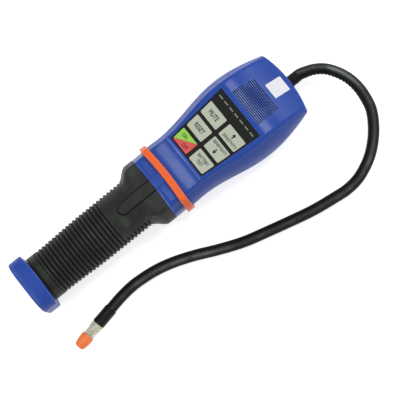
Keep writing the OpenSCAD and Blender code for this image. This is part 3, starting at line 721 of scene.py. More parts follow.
@dataclass
class Head:
    """The two blue shells of the head, the keypad's pocket, the speaker's slots and the bare label.

    Sizes are in millimetres and angles in degrees. Stations count along Y from the foot's end.
    """

    # Length and outline
    body_len: float = 228.6
    axis_h: float = 26.0
    head_s: float = 125.5
    head_w: float = 63.6
    rim_w: float = 50.8
    neck_w: float = 50.2
    end_w: float = 47.8
    neck_up: float = 8.5
    belly_drop: float = 2.0
    end_bow: float = 82.0
    low_bow: float = 240.0
    # Sections
    front_draft: float = 16.0
    back_draft: float = 9.0
    neck_front: float = 19.5
    nose_front: float = 4.5
    nose_lean: float = 9.0
    neck_back: float = 23.6
    back_flat: float = 26.5
    back_ramp: float = 18.0
    end_back: float = 20.0
    heel_len: float = 24.6
    front_soft: float = 2.4
    soft_share: float = 0.8
    side_bow: float = 0.05
    back_soft: float = 7.0
    crown: float = 0.2
    edge_r: float = 1.1
    seam: float = 0.22
    crease: float = 28.0
    # Keypad's slope and pocket
    panel_len: float = 48.0
    panel_low: float = 34.1
    panel_high: float = 41.8
    panel_front: float = 21.5
    panel_tilt: float = 5.0
    panel_gap: float = 0.05
    pocket_deep: float = 8.0
    flat_below: float = 2.0
    flat_above: float = 3.1
    neck_share: float = 0.4
    gap_share: float = 0.11
    # Bead below the keypad
    sill_drop: float = 2.0
    sill_r: float = 0.9
    sill_h: float = 0.45
    sill_over: float = 1.0
    sill_clear: float = 3.0
    # Speaker's slots
    slots: int = 13
    slot_pitch: float = 1.36
    slot_w: float = 0.65
    slot_low: float = 29.0
    slot_high: float = 26.7
    slot_deep: float = 2.6
    slot_walls: tuple[float, ...] = (-0.5, -0.42, 0.42, 0.5)
    # Screw wells
    screw_seat: float = 6.0
    well_r: float = 3.0
    well_low: float = 10.5
    well_high: float = 15.0
    well_x: float = 14.0
    well_sides: int = 32
    # Label
    label_from: float = 213.1
    label_to: float = 225.0
    label_half: float = 5.8
    label_mid: float = 0.7
    label_t: float = 0.14
    label_corner: float = 0.6
    # Painted highlights and matt places
    sill_highlight: float = 0.8
    land_highlight: float = 0.5
    wall_matt: float = 0.45
    # Rows and columns of the meshes
    row_near: float = 0.25
    lid_cols: int = 5
    end_rows: int = 9
    pole_front: float = 3.0
    pole_back: float = -6.0

    def __post_init__(self) -> None:
        """Works out the stations that follow from the sizes."""
        tilt = math.radians(self.panel_tilt)
        run = self.panel_len * math.cos(tilt)
        grille = (self.slots - 1) * self.slot_pitch
        free = self.body_len - self.head_s - run - grille
        self.panel_s = self.head_s + self.neck_share * free
        self.panel_end = self.panel_s + run
        self.grille_s = self.panel_end + self.gap_share * free
        self.grille_end = self.grille_s + grille
        self.flat_low, self.flat_high = self.panel_s - self.flat_below, self.panel_end + self.flat_above
        self.sill_s = self.panel_s - self.sill_drop * math.cos(tilt)
        self.neck_s = self.head_s + self.neck_up
        self.belly_s = self.panel_end - self.belly_drop
        self.heel_s = self.body_len - self.heel_len
        self.rise = math.tan(tilt)

    def half_w(self, s: np.ndarray) -> np.ndarray:
        """Half the width: eased from rim to waist to belly, then a quarter cosine to the end.

        Args:
            s: Stations.

        Returns:
            Half the width at each.
        """
        low = mix(self.rim_w, self.neck_w, ease((s - self.head_s) / (self.neck_s - self.head_s)))
        mid = mix(self.neck_w, self.head_w, ease((s - self.neck_s) / (self.belly_s - self.neck_s)))
        share = (s - self.belly_s) / (self.body_len - self.belly_s)
        top = mix(self.end_w, self.head_w, np.cos(np.pi / 2 * share))
        return np.where(s < self.neck_s, low, np.where(s < self.belly_s, mid, top)) / 2

    def flat_z(self, s: np.ndarray) -> np.ndarray:
        """Height of the keypad's slope."""
        return self.panel_front + (s - self.panel_s) * self.rise

    def front_z(self, s: np.ndarray) -> np.ndarray:
        """Height of the front: eased up to the keypad's slope, along it, then a cosine down the nose.

        Args:
            s: Stations.

        Returns:
            The height over the axis at each.
        """
        climb = ease((s - self.head_s) / (self.flat_low - self.head_s))
        low = mix(self.neck_front, self.flat_z(self.flat_low), climb)
        lean = math.radians(self.nose_lean)
        share = (s - self.flat_high) / (self.body_len - self.flat_high)
        left = np.cos(mix(lean, np.pi / 2, share)) / math.cos(lean)
        nose = mix(self.nose_front, self.flat_z(self.flat_high), left)
        return np.where(s < self.flat_low, low, np.where(s < self.flat_high, self.flat_z(s), nose))

    def back_z(self, s: np.ndarray) -> np.ndarray:
        """Depth of the back: eased down from the neck, then a quarter cosine up to the end.

        Args:
            s: Stations.

        Returns:
            The depth under the axis at each.
        """
        low = mix(self.neck_back, self.back_flat, ease((s - self.head_s) / self.back_ramp))
        heel = mix(self.end_back, self.back_flat, np.cos(np.pi / 2 * (s - self.heel_s) / self.heel_len))
        return np.where(s < self.heel_s, low, heel)

    def face_z(self, x: np.ndarray, s: np.ndarray) -> np.ndarray:
        """Height of the front face beside its middle: a shallow parabola between its rounded edges.

        Args:
            x: Places across.
            s: Stations.

        Returns:
            The height over the axis at each.
        """
        far = self.front_z(s)
        edge = self.half_w(s) - far * math.tan(math.radians(self.front_draft)) - self.front_soft
        return far + self.crown * (1.0 - (x / edge) ** 2)

    def half_panel(self, s: np.ndarray) -> np.ndarray:
        """Half the width of the keypad at a station."""
        return mix(self.panel_low, self.panel_high, (s - self.panel_s) / (self.panel_end - self.panel_s)) / 2

    def half_section(self, s: np.ndarray, inset: np.ndarray, split: np.ndarray, cols: Columns,
                     front: bool) -> tuple[np.ndarray, np.ndarray]:
        """Half of a section, from the parting line to the middle.

        The side wall leans in by its draft on a shallow bow, a quadratic curve turns it into
        the face, and the face is a shallow parabola, split at a given distance from the middle.

        Args:
            s: Stations, as rows by columns.
            inset: How far the section is drawn in, by row.
            split: Where the face is split, by row.
            cols: The columns.
            front: Whether it is the front half or the back half.

        Returns:
            Distance from the middle and height above the axis.
        """
        depth = self.front_z(s) if front else self.back_z(s)
        hw = self.half_w(s) - inset
        far = depth - inset
        corner = hw - depth * math.tan(math.radians(self.front_draft if front else self.back_draft))
        soft = np.full_like(far, self.back_soft)
        if front:
            soft = np.minimum(self.front_soft, self.soft_share * far)
        length = np.hypot(hw - corner, far)
        x0, z0 = mix(corner, hw, soft / length), mix(far, 0.0, soft / length)
        edge = corner - soft
        t = cols.t[None, :]
        run = np.hypot(hw - x0, z0)
        lift = 4.0 * t * (1.0 - t) * (self.side_bow if front else self.crown / run)
        wall = (mix(hw, x0, t) + lift * z0, mix(0.0, z0, t) + lift * (hw - x0))
        turn = (mix(mix(x0, corner, t), mix(corner, edge, t), t), mix(mix(z0, far, t), far, t))
        x_out, x_in = mix(edge, split, t), mix(split, 0.0, t)
        part = cols.part[None, :]
        pick = [part == stretch.value for stretch in Stretch]
        x = np.select(pick, [wall[0], turn[0], x_out, x_in])
        face = far + self.crown * (1.0 - (x / edge) ** 2)
        z = np.select(pick, [wall[1], turn[1], face, face])
        return x, (z if front else -np.minimum(z, self.axis_h))

    def warp(self, s: np.ndarray, x: np.ndarray) -> np.ndarray:
        """Bows the stations near both ends, where the end and the band's edge fall back to the sides.

        Args:
            s: Stations.
            x: Places across.

        Returns:
            The bowed stations.
        """
        top_s, low_s = self.grille_end + self.slot_pitch, self.sill_s - self.sill_clear * self.sill_r
        top = np.clip((s - top_s) / (self.body_len - top_s), 0.0, 1.0)
        low = np.clip((low_s - s) / (low_s - self.head_s), 0.0, 1.0)
        return s - top * sagitta(x, self.end_bow) - low * sagitta(x, self.low_bow)

    def outline(self, s: float, inset: float, split: float, cols: Columns) -> np.ndarray:
        """Closed outline of the section at one station, as points of X and Z.

        Args:
            s: Station.
            inset: How far it is drawn in.
            split: Where the face is split.
            cols: The columns of a half.

        Returns:
            The outline, counter-clockwise from the right parting line.
        """
        at = np.full((1, cols.t.size), s)
        one = np.ones((1, 1))
        front, back = (np.stack(self.half_section(at, inset * one, split * one, cols, side), -1)[0]
                       for side in (True, False))
        flip = np.array([-1.0, 1.0])
        return np.concatenate([front, (front * flip)[::-1][1:], (back * flip)[1:], back[::-1][1:-1]])

    def shell(self, name: str, rows: ShellRows, front: bool) -> bpy.types.Object:
        """One half shell, closed by a lid on the parting plane and by its two ends.

        Each row is a half section with its mirror image. The middle columns sink by the row's
        depth, which makes the keypad's pocket and the slots, or rise to its bead. The last rows
        draw in on a quarter circle for the rounded end edge and then shrink to a point.

        Args:
            name: Name of the piece.
            rows: The rows.
            front: Whether it is the front half.

        Returns:
            The shell.
        """
        cols = Columns()
        draw, rise = (a[1:] for a in quarter(EDGE_STEPS))
        grow = draw.size
        s = np.concatenate([rows.stations, self.body_len - self.edge_r * (1.0 - rise)])
        inset = np.concatenate([np.zeros(rows.stations.size), self.edge_r * draw])[:, None]
        sunk, bead = (np.concatenate([a, np.zeros(grow)])[:, None] for a in (rows.sunk, rows.bead))
        split = np.concatenate([rows.split, np.full(grow, rows.split[-1])])[:, None]
        at = np.repeat(s[:, None], cols.t.size, 1)
        act = self.warp(at, self.half_section(at, inset, split, cols, front)[0])
        x, z = self.half_section(act, inset, split, cols, front)
        inner = (cols.part == Stretch.INNER.value)[None, :]
        z = z - sunk * inner
        z = np.where(inner & (bead > 0.0), np.maximum(z, self.front_z(act) + bead), z)
        x = x - self.seam * np.clip(1.0 - np.abs(z) / self.seam, 0.0, 1.0)
        # Painted shade, together with the dark cloth behind the slots: the floors of the slots and of the
        # keypad's pocket are darkened.
        painted_shade = np.clip(sunk / self.slot_deep, 0.0, 1.0) * inner
        # Painted highlight: the bead below the keypad and the lands between the grille's slots are lightened.
        grille = (s > self.grille_s - self.slot_w) & (s < self.grille_end + self.slot_w)
        lit_lands = self.land_highlight * grille[:, None] * (sunk < self.slot_deep / 2)
        crest = np.maximum(self.sill_highlight * bead / self.sill_h, lit_lands) * inner
        wall = (cols.part == Stretch.WALL.value)[None, :]
        matt = np.repeat(self.wall_matt * wall, s.size, 0)
        right = np.stack([x, act, z], -1)
        left = right[:, ::-1][:, 1:] * np.array([-1.0, 1.0, 1.0])
        k = np.linspace(0.0, 1.0, self.lid_cols + 2)[None, 1:-1, None]
        lid = mix(left[:, -1:], right[:, :1], k)
        lid[..., 1] = self.warp(np.repeat(s[:, None], k.size, 1), lid[..., 0])
        ring = np.concatenate([right, left, lid], 1)
        shrink = np.linspace(0.0, 1.0, self.end_rows)[:, None, None]
        middle = np.array([0.0, 0.0, self.pole_front if front else self.pole_back])
        foot = self.pole(ring[0], shrink, middle, self.head_s, self.low_bow)[:-1]
        top = self.pole(ring[-1], shrink, middle, self.body_len, self.end_bow)[::-1][1:]
        grid = np.concatenate([foot, ring, top]) + np.array([0.0, -self.body_len / 2, self.axis_h])
        marks = {}
        for mark, half in {"painted_shade": painted_shade, "crest": crest, "matt": matt}.items():
            both = np.concatenate([half, half[:, ::-1][:, 1:], np.zeros((s.size, k.size))], 1)
            marks[mark] = np.pad(both, ((len(foot), len(top)), (0, 0)))
        return surface(name, grid, Ends.POLES, self.crease, marks)

    @staticmethod
    def pole(ring: np.ndarray, share: np.ndarray, middle: np.ndarray, s: float, bow: float) -> np.ndarray:
        """Rows that grow from a point to a ring on a bowed end.

        Args:
            ring: The outer ring.
            share: Share of the ring's size, by row.
            middle: The point in the section's plane that the rows grow from.
            s: Station of the bow's crown.
            bow: Radius of the bow.

        Returns:
            The rows.
        """
        rows = mix(middle, ring * np.array([1.0, 0.0, 1.0]), share)
        edge = ring[None, :, 1] - (s - sagitta(ring[None, :, 0], bow))
        rows[..., 1] = s - sagitta(rows[..., 0], bow) + edge * share[..., 0]
        return rows

    def front_rows(self) -> ShellRows:
        """Rows of the front shell.

        They close up round the bead below the keypad, at the pocket's ends, at the crease where
        the nose starts and at each slot's two walls. The bead is an arc of the sill's radius.

        Returns:
            The rows.
        """
        gap, near = self.panel_gap, self.row_near
        reach = math.sqrt(self.sill_r**2 - (self.sill_r - self.sill_h) ** 2)
        bead = self.sill_s + reach * np.sin(np.linspace(-np.pi / 2, np.pi / 2, 11))
        stretches = [
            (np.linspace(self.head_s, bead[0] - near, 20), 0.0),
            (bead, 0.0),
            (np.linspace(bead[-1] + near, self.panel_s - gap, 4), 0.0),
            (np.array([self.panel_s - gap, *np.linspace(self.panel_s, self.panel_end, 8),
                       self.panel_end + gap]), self.pocket_deep),
            (np.array([self.panel_end + gap, *np.linspace(self.panel_end + near, self.flat_high - near, 4),
                       self.flat_high, self.flat_high + near]), 0.0)]
        for i in range(self.slots):
            middle = self.grille_s + i * self.slot_pitch
            wall = np.array(self.slot_walls) * self.slot_w + middle
            stretches += [(wall[:1], 0.0), (wall[1:3], self.slot_deep), (wall[3:], 0.0)]
        stretches.append((np.linspace(self.grille_end + self.slot_w, self.body_len - self.edge_r, 28), 0.0))
        stations = np.concatenate([a for a, _ in stretches])
        sunk = np.concatenate([np.full(a.size, deep) for a, deep in stretches])
        arc = np.sqrt(np.maximum(self.sill_r**2 - (stations - self.sill_s) ** 2, 0.0))
        arc = arc - self.sill_r + self.sill_h
        sill = self.panel_low / 2 + self.sill_over
        panel = self.half_panel(np.clip(stations, self.panel_s, self.panel_end)) + gap
        along = (stations - self.grille_s) / (self.grille_end - self.grille_s)
        slot = mix(self.slot_low, self.slot_high, along) / 2
        slot = np.clip(slot, self.slot_high / 2, self.slot_low / 2)
        after = ease((stations - self.panel_end - near) / (self.flat_high + near - self.panel_end - near))
        split = np.where(stations > bead[-1] + near / 2, mix(panel, slot, after), sill)
        return ShellRows(stations, sunk, np.maximum(arc, 0.0), split)

    def back_rows(self) -> ShellRows:
        """Rows of the rear shell: plain stations that close up towards the rising heel.

        Returns:
            The rows.
        """
        stations = np.concatenate([np.linspace(self.head_s, self.heel_s, 40),
                                   np.linspace(self.heel_s, self.body_len - self.edge_r, 20)[1:]])
        none = np.zeros(stations.size)
        return ShellRows(stations, none, none, none + self.neck_w / 6)

    def wells(self) -> bpy.types.Object:
        """Three upright rods that cut the screw wells into the back.

        Returns:
            The rods as one object.
        """
        high = self.body_len - self.well_high
        spots = [(0.0, self.head_s + self.well_low), (-self.well_x, high), (self.well_x, high)]
        top = self.axis_h - self.screw_seat
        profile = np.array([[0.0, -self.axis_h], [self.well_r, -self.axis_h], [self.well_r, top], [0.0, top]])
        rod = turned(profile, self.well_sides)
        work = bmesh.new()
        for x, s in spots:
            piece = surface("well", rod + np.array([x, s - self.body_len / 2, 0.0]), Ends.POLES)
            work.from_mesh(piece.data)
            bpy.data.objects.remove(piece)
        mesh = bpy.data.meshes.new("wells")
        work.to_mesh(mesh)
        work.free()
        return finish_mesh("wells", mesh, self.crease)

    def label(self) -> bpy.types.Object:
        """The bare white label: a thin plate with rounded corners, laid on the nose's own height.

        Returns:
            The label.
        """
        half, low, high = self.label_half, self.label_from, self.label_to
        corners = np.array([[-half, low], [half, low], [half, high], [-half, high]]) + [self.label_mid, 0.0]
        grid = plate(corners, self.label_corner, -self.label_t, self.label_t, self.label_t / 2)
        x, s, lift = np.moveaxis(grid, -1, 0)
        z = self.face_z(x, s) + lift + self.axis_h
        return surface("label_plate", np.stack([x, s - self.body_len / 2, z], -1), Ends.POLES)

    def build(self, shop: Workshop) -> None:
        """Builds and dresses the shells and the label.

        Args:
            shop: Materials and bodies.
        """
        front = self.shell("head_front", self.front_rows(), True)
        back, wells = self.shell("head_back", self.back_rows(), False), self.wells()
        cut = back.modifiers.new("wells", "BOOLEAN")
        cut.operation, cut.object, cut.solver = "DIFFERENCE", wells, "EXACT"
        ready = bpy.data.meshes.new_from_object(back.evaluated_get(bpy.context.evaluated_depsgraph_get()))
        bpy.data.objects.remove(back)
        bpy.data.objects.remove(wells)
        back = finish_mesh("head_back", ready, self.crease)
        shop.dress(front, "housing", Body.DETECTOR.value, "housing_blue", "front_shell")
        shop.dress(back, "housing", Body.DETECTOR.value, "housing_blue", "rear_shell")
        shop.dress(self.label(), "label", Body.DETECTOR.value, "housing_blue")

    def on_panel(self, grid: np.ndarray) -> np.ndarray:
        """Places points of the keypad's own frame: across, up the slope and out of the face.

        Args:
            grid: The points in that frame.

        Returns:
            The points in the part's frame.
        """
        a = math.radians(self.panel_tilt)
        u, v, w = np.moveaxis(grid, -1, 0)
        y = self.panel_s + v * math.cos(a) - w * math.sin(a) - self.body_len / 2
        z = self.panel_front + v * math.sin(a) + w * math.cos(a) + self.axis_h
        return np.stack([u, y, z], -1)


class Arrow(Enum):
    """The arrows on the keys."""

    NONE = 0
    UP = 1
    DOWN = -1


@dataclass(frozen=True)
class Word:
    """A printed word: its text, size and share of the plain width, its place on the key and its ink."""

    text: str
    size: float
    wide: float
    across: float = 0.0
    up: float = 0.0
    ink: str = "ink"


@dataclass(frozen=True)
class KeyPrint:
    """What is printed on one key."""

    name: str
    column: int
    row: int
    words: tuple[Word, ...]
    arrow: Arrow = Arrow.NONE
    finish: str = "key"
    slot: str = "key_grey"


@dataclass
class Keypad:
    """The six keys with their printed words and arrows, in millimetres."""

    head: Head
    # Keys
    key_h: float = 10.3
    row_gap: float = 2.6
    col_gap: float = 3.0
    margin: float = 1.3
    first: float = 1.2
    top: float = -0.15
    low: float = -1.4
    corner: float = 0.7
    edge: float = 0.16
    # Prints
    print_t: float = 0.022
    bold: float = 0.02
    arrow_up: float = 1.6
    curve_steps: int = 3
    crease: float = 30.0
    keys: tuple[KeyPrint, ...] = (
        KeyPrint("power", -1, 0, (Word("ON", 3.8, 0.74, -2.7, 2.0, "ink_green"),
                                  Word("OFF", 3.8, 0.74, 2.7, -2.5, "ink_red")),
                 Arrow.NONE, "power", "key_green_red"),
        KeyPrint("reset", -1, 1, (Word("RESET", 4.8, 0.7),)),
        KeyPrint("mute", -1, 2, (Word("M", 4.8, 0.72, -3.13), Word("UTE", 4.8, 0.72, 1.35))),
        KeyPrint("battery_test", 1, 0, (Word("BATTERY", 3.3, 0.78, 0.0, 1.6),
                                        Word("TEST", 3.3, 0.74, 0.0, -1.7))),
        KeyPrint("sensitivity_down", 1, 1, (Word("SENSITIVITY", 2.9, 0.86, 0.2, 2.7),), Arrow.DOWN),
        KeyPrint("sensitivity_up", 1, 2, (Word("SENSITIVITY", 2.9, 0.86, 0.5, -2.5),), Arrow.UP),
    )

    def corners(self, key: KeyPrint) -> np.ndarray:
        """Corners of a key: its outer side follows the keypad's slanted edge.

        Args:
            key: The key.

        Returns:
            Four corners, across and up the slope, counter-clockwise.
        """
        v0 = self.first + key.row * (self.key_h + self.row_gap)
        v = np.array([v0, v0, v0 + self.key_h, v0 + self.key_h])
        half = mix(self.head.panel_low, self.head.panel_high, v / self.head.panel_len) / 2 - self.margin
        inner = self.col_gap / 2
        u = np.array([inner, half[1], half[2], inner]) * key.column
        return np.stack([u, v], -1)[::key.column]

    def pad(self, key: KeyPrint) -> bpy.types.Object:
        """One key: a plate with rounded corners and a small rounded top edge."""
        grid = plate(self.corners(key), self.corner, self.low, self.top, self.edge)
        return surface("pad_" + key.name, self.head.on_panel(grid), Ends.POLES)

    def word(self, name: str, word: Word, at: np.ndarray) -> bpy.types.Object:
        """A printed word, as a thin raised print.

        Args:
            name: Name of the piece.
            word: The word.
            at: Its middle, across and up the slope.

        Returns:
            The word as a mesh.
        """
        curve = bpy.data.curves.new(name, "FONT")
        curve.body, curve.size, curve.align_x, curve.align_y = word.text, word.size, "CENTER", "CENTER"
        curve.offset, curve.extrude = self.bold * word.size, self.print_t / 2
        curve.resolution_u = self.curve_steps
        holder = bpy.data.objects.new(name, curve)
        bpy.context.scene.collection.objects.link(holder)
        bpy.context.view_layer.update()
        mesh = bpy.data.meshes.new_from_object(holder.evaluated_get(bpy.context.evaluated_depsgraph_get()))
        bpy.data.objects.remove(holder)
        flat = np.empty(len(mesh.vertices) * 3, np.float32)
        mesh.vertices.foreach_get("co", flat)
        grid = flat.reshape(-1, 3) * [word.wide, 1.0, 1.0] + [*at, self.top + self.print_t / 2]
        placed = np.ascontiguousarray(self.head.on_panel(grid) * MM, np.float32)
        mesh.vertices.foreach_set("co", placed.ravel())
        return finish_mesh(name, mesh, self.crease)

    def letter_m(self, name: str, word: Word, at: np.ndarray) -> bpy.types.Object:
        """The letter M as one bent stroke, because the font's own M breaks when it is made bolder.

        The outer and the inner edge of the stroke run from one foot over the middle to the other, and
        the strip between them is drawn up into a thin print.

        Args:
            name: Name of the piece.
            word: The letter, with its size and share of the plain width.
            at: Its middle, across and up the slope.

        Returns:
            The letter as a mesh.
        """
        outer = np.array([[-0.338, -0.32], [-0.338, 0.402], [-0.216, 0.402], [0.0, 0.134]])
        inner = np.array([[-0.2, -0.32], [-0.2, 0.15], [-0.2, 0.176], [0.0, -0.06]])
        half = np.stack([outer, inner, inner, outer], 1)
        strip = np.concatenate([half, half[-2::-1] * [-1.0, 1.0]]) * word.size * [word.wide, 1.0] + at
        w = self.top + self.print_t * np.array([0.0, 0.0, 1.0, 1.0])[None, :, None]
        grid = np.concatenate([strip, np.repeat(w, len(strip), 0)], -1)
        middles = np.repeat(grid[[0, -1]].mean(1, keepdims=True), 4, 1)
        grid = np.concatenate([middles[:1], grid, middles[1:]])
        return surface(name, self.head.on_panel(grid), Ends.POLES)

    def arrow(self, name: str, up: float, at: np.ndarray) -> bpy.types.Object:
        """A short printed arrow: a shaft with a triangular head, drawn up into a thin print.

        Args:
            name: Name of the piece.
            up: 1 for up the slope and -1 for down.
            at: Its middle, across and up the slope.

        Returns:
            The arrow.
        """
        half = np.array([[0.5, -1.9], [0.5, 0.1], [1.55, 0.1], [0.0, 2.0]])
        shape = np.concatenate([half, half[-2::-1] * [-1.0, 1.0]])
        share = np.array([0.0, 1.0, 1.0, 0.0])[:, None, None]
        flat = at + shape[None] * np.array([1.0, up]) * share
        w = self.top + np.array([0.0, 0.0, self.print_t, self.print_t])[:, None, None]
        grid = np.concatenate([flat, np.broadcast_to(w, flat[..., :1].shape)], -1)
        return surface(name, self.head.on_panel(grid), Ends.POLES)

    def build(self, shop: Workshop) -> None:
        """Builds and dresses every key.

        Args:
            shop: Materials and bodies.
        """
        for key in self.keys:
            body = key.name + "_pad"
            shop.dress(self.pad(key), key.finish, body, key.slot, "key_" + key.name)
            middle = self.corners(key).mean(0)
            for count, word in enumerate(key.words):
                make = self.letter_m if word.text == "M" else self.word
                piece = make(f"print_{key.name}_{count}", word, middle + [word.across, word.up])
                shop.dress(piece, word.ink, body, key.slot)
            if key.arrow is not Arrow.NONE:
                at = middle + [0.0, self.arrow_up * key.arrow.value]
                shop.dress(self.arrow("arrow_" + key.name, key.arrow.value, at), "ink", body, key.slot)


@dataclass
class Handle:
    """The ribbed grip, the blue collar with its tab and pads, the orange band and the battery door.

    Sizes are in millimetres and angles in degrees. Stations count along Y from the foot's end.
    """

    head: Head
    # Collar and band
    seam_s: float = 111.7
    band_s: float = 120.4
    band_proud: float = 2.0
    band_deep: float = 1.2
    band_edge: float = 0.55
    bow: float = 240.0
    inset: float = 0.4
    collar_soft: float = 0.6
    collar_floor: tuple[float, float] = (6.0, 2.0)
    neck_split: float = 10.0
    edge_highlight: float = 0.8
    # Tab and pads on the collar
    tab_w: float = 7.5
    tab_proud: float = 0.8
    tab_edge: float = 0.6
    pad_len: float = 12.0
    pad_w: float = 3.4
    pad_proud: float = 0.5
    pad_gap: float = 1.0
    pad_mid: float = 0.55
    pad_edge: float = 0.45
    raised_root: float = 2.0
    raised_flat: float = 0.999
    raised_lit_edge: tuple[float, float] = (0.9, 0.35)
    raised_top_lit: float = 0.35
    raised_seat: float = 0.3
    # Battery door
    foot_len: float = 12.6
    foot_bow: float = 120.0
    foot_lean: float = 0.05
    foot_w: float = 41.6
    foot_front: float = 22.0
    foot_soft: float = 15.0
    foot_back_soft: float = 18.0
    foot_edge: float = 1.4
    foot_rim: float = 0.9
    foot_floor: float = 3.0
    foot_rings: tuple[float, float] = (20.0, 8.0)
    foot_flat: float = 0.5
    foot_end_highlight: float = 0.4
    foot_crease: float = 34.0
    lip_share: float = 0.6
    lip_wide: float = 1.02
    lip_deep: float = 0.4
    bore_r: float = 15.9
    # Grip and its ribs
    grip_gap: float = 0.8
    seat_shade: float = 1.5
    plain_len: float = 5.0
    lead_gap: float = 0.05
    grip_d: float = 36.6
    grip_low_d: float = 34.4
    grip_full_s: float = 60.0
    grip_edge: float = 0.6
    grip_crease: float = 40.0
    rib_depth: float = 1.0
    rib_pitch: float = 3.04
    ribs: int = 25
    front_ribs: int = 18
    rib_phase: tuple[float, ...] = (0.0, 0.05, 0.13, 0.19, 0.6, 0.66, 0.74, 0.79)
    rib_rise: tuple[float, ...] = (0.0, 0.2, 0.88, 1.0, 1.0, 0.88, 0.2, 0.0)
    rib_wear: float = 0.16
    rib_least: float = 0.3
    smooth_turn: float = 117.0
    smooth_early: float = 0.2
    flare_s: float = 93.0
    flare_top_s: float = 105.0
    flare_rows: int = 38
    fans: tuple[tuple[float, float, int], ...] = ((0, 9, 17), (9.4, 18, 24), (19.5, 180, 100))
    # Tongue and the groove round it
    tongue_w: float = 8.5
    tongue_s: float = 82.0
    tongue_lead: float = 0.61
    tongue_past: float = 0.3
    tongue_rows: int = 24
    groove: float = 0.8
    groove_share: float = 0.55
    groove_faint: float = 0.45
    groove_from: float = -2.5
    groove_over: float = 4.0
    groove_steep: float = 1.4
    groove_dark: float = 1.6
    # Painted highlight beside the tongue
    lit_x: float = 7.5
    lit_w: float = 9.0
    lit_drop: float = 5.0
    lit_h: float = 6.0
    lit_share: float = 0.8

    def to_frame(self, x: np.ndarray, s: np.ndarray, z: np.ndarray) -> np.ndarray:
        """Moves points from stations to the part's frame."""
        return np.stack([x, s - self.head.body_len / 2, z + self.head.axis_h], -1)

    def neck(self, insets: np.ndarray, cols: Columns) -> np.ndarray:
        """The neck's outline once for each inset, as rows by columns by two."""
        station, split = self.head.head_s, self.neck_split
        return np.stack([self.head.outline(station, float(d), split, cols) for d in insets])

    def band(self) -> bpy.types.Object:
        """The orange band: a rounded bar section carried round the neck's outline on a bowed line.

        Returns:
            The band.
        """
        r, out, low, high = self.band_edge, self.band_proud, self.band_s, self.head.head_s
        draw, rise = quarter(EDGE_STEPS)
        foot = np.stack([low + r * draw, out - r + r * rise], -1)
        top = np.stack([high - r + r * rise, out - r * draw], -1)
        bar = np.concatenate([foot, top, [[high, -self.band_deep], [low, -self.band_deep]]])
        x, z = np.moveaxis(self.neck(-bar[:, 1], Columns(12, 12, 8, 8)), -1, 0)
        return surface("orange_band", self.to_frame(x, bar[:, :1] - sagitta(x, self.bow), z), Ends.LOOP)

    def collar(self) -> bpy.types.Object:
        """The blue collar: the neck's outline between two bowed lines, with a rounded lower edge.

        Returns:
            The collar.
        """
        draw, rise = quarter(EDGE_STEPS)
        plain = np.linspace(self.seam_s + 2.0 * self.collar_soft, self.band_s, 6)
        s = np.concatenate([[self.seam_s] * 2, self.seam_s + self.collar_soft * draw, plain])
        inset = np.concatenate([self.collar_floor, self.collar_soft * (1.0 - rise), 0.0 * plain])
        inset = inset + self.inset
        x, z = np.moveaxis(self.neck(inset, Columns(12, 12, 9, 7)), -1, 0)
        rows = self.to_frame(x, s[:, None] - sagitta(x, self.bow), z)
        ends = [self.to_frame(0.0 * x[:1], np.full_like(x[:1], end), 0.0 * x[:1])
                for end in (self.seam_s, self.band_s)]
        # Painted highlight along the rounded lower edge.
        worn_and_lit = self.edge_highlight * bump((s - self.seam_s - self.collar_soft) / self.collar_soft)
        worn_and_lit = np.repeat(np.pad(worn_and_lit, 1)[:, None], x.shape[1], 1)
        rows = np.concatenate([ends[0], rows, ends[1]])
        return surface("blue_collar", rows, Ends.POLES, marks={"crest": worn_and_lit})

    def raised(self, name: str, box: tuple[float, float, float, float], proud: float,
               edge: float) -> bpy.types.Object:
        """A low plate that stands out of the collar's front.

        Args:
            name: Name of the piece.
            box: Least and greatest X, least and greatest station.
            proud: How far it stands out.
            edge: Radius of its upper edge.

        Returns:
            The plate.
        """
        x0, x1, s0, s1 = box
        corners = np.array([[x0, s0], [x1, s0], [x1, s1], [x0, s1]])
        face = self.head.neck_front - self.inset
        x, s, z = np.moveaxis(plate(corners, edge, face - self.raised_root, face + proud, edge), -1, 0)
        # Painted highlight on the rounded upper edge and, fainter, over the top. Painted shade where the
        # plate's wall meets the collar.
        high = (z - face) / proud
        lit_at, lit_over = self.raised_lit_edge
        worn_and_lit = bump((high - lit_at) / lit_over) * (high < self.raised_flat)
        worn_and_lit = np.maximum(worn_and_lit, self.raised_top_lit * (high > 0.5))
        marks = {"painted_shade": 1.0 - ease(high / self.raised_seat), "crest": self.edge_highlight * worn_and_lit}
        return surface(name, self.to_frame(x, s, z), Ends.POLES, marks=marks)

    def foot_draw(self, x: np.ndarray, z: np.ndarray, bow: float) -> np.ndarray:
        """How far the door's rim and the grip's end stand back: an arc across and a lean to the back.

        Args:
            x: Places across, in mm.
            z: Heights over the axis, in mm.
            bow: Radius of the arc, in mm.

        Returns:
            The distance towards the foot's end, in mm.
        """
        return sagitta(x, bow) + self.foot_lean * (self.foot_front - z)

    def grip_r(self, s: np.ndarray) -> np.ndarray:
        """Radius over the ribs: eased from the narrow foot to the full grip."""
        low = self.foot_len + self.grip_gap + self.plain_len
        return mix(self.grip_low_d, self.grip_d, ease((s - low) / (self.grip_full_s - low))) / 2

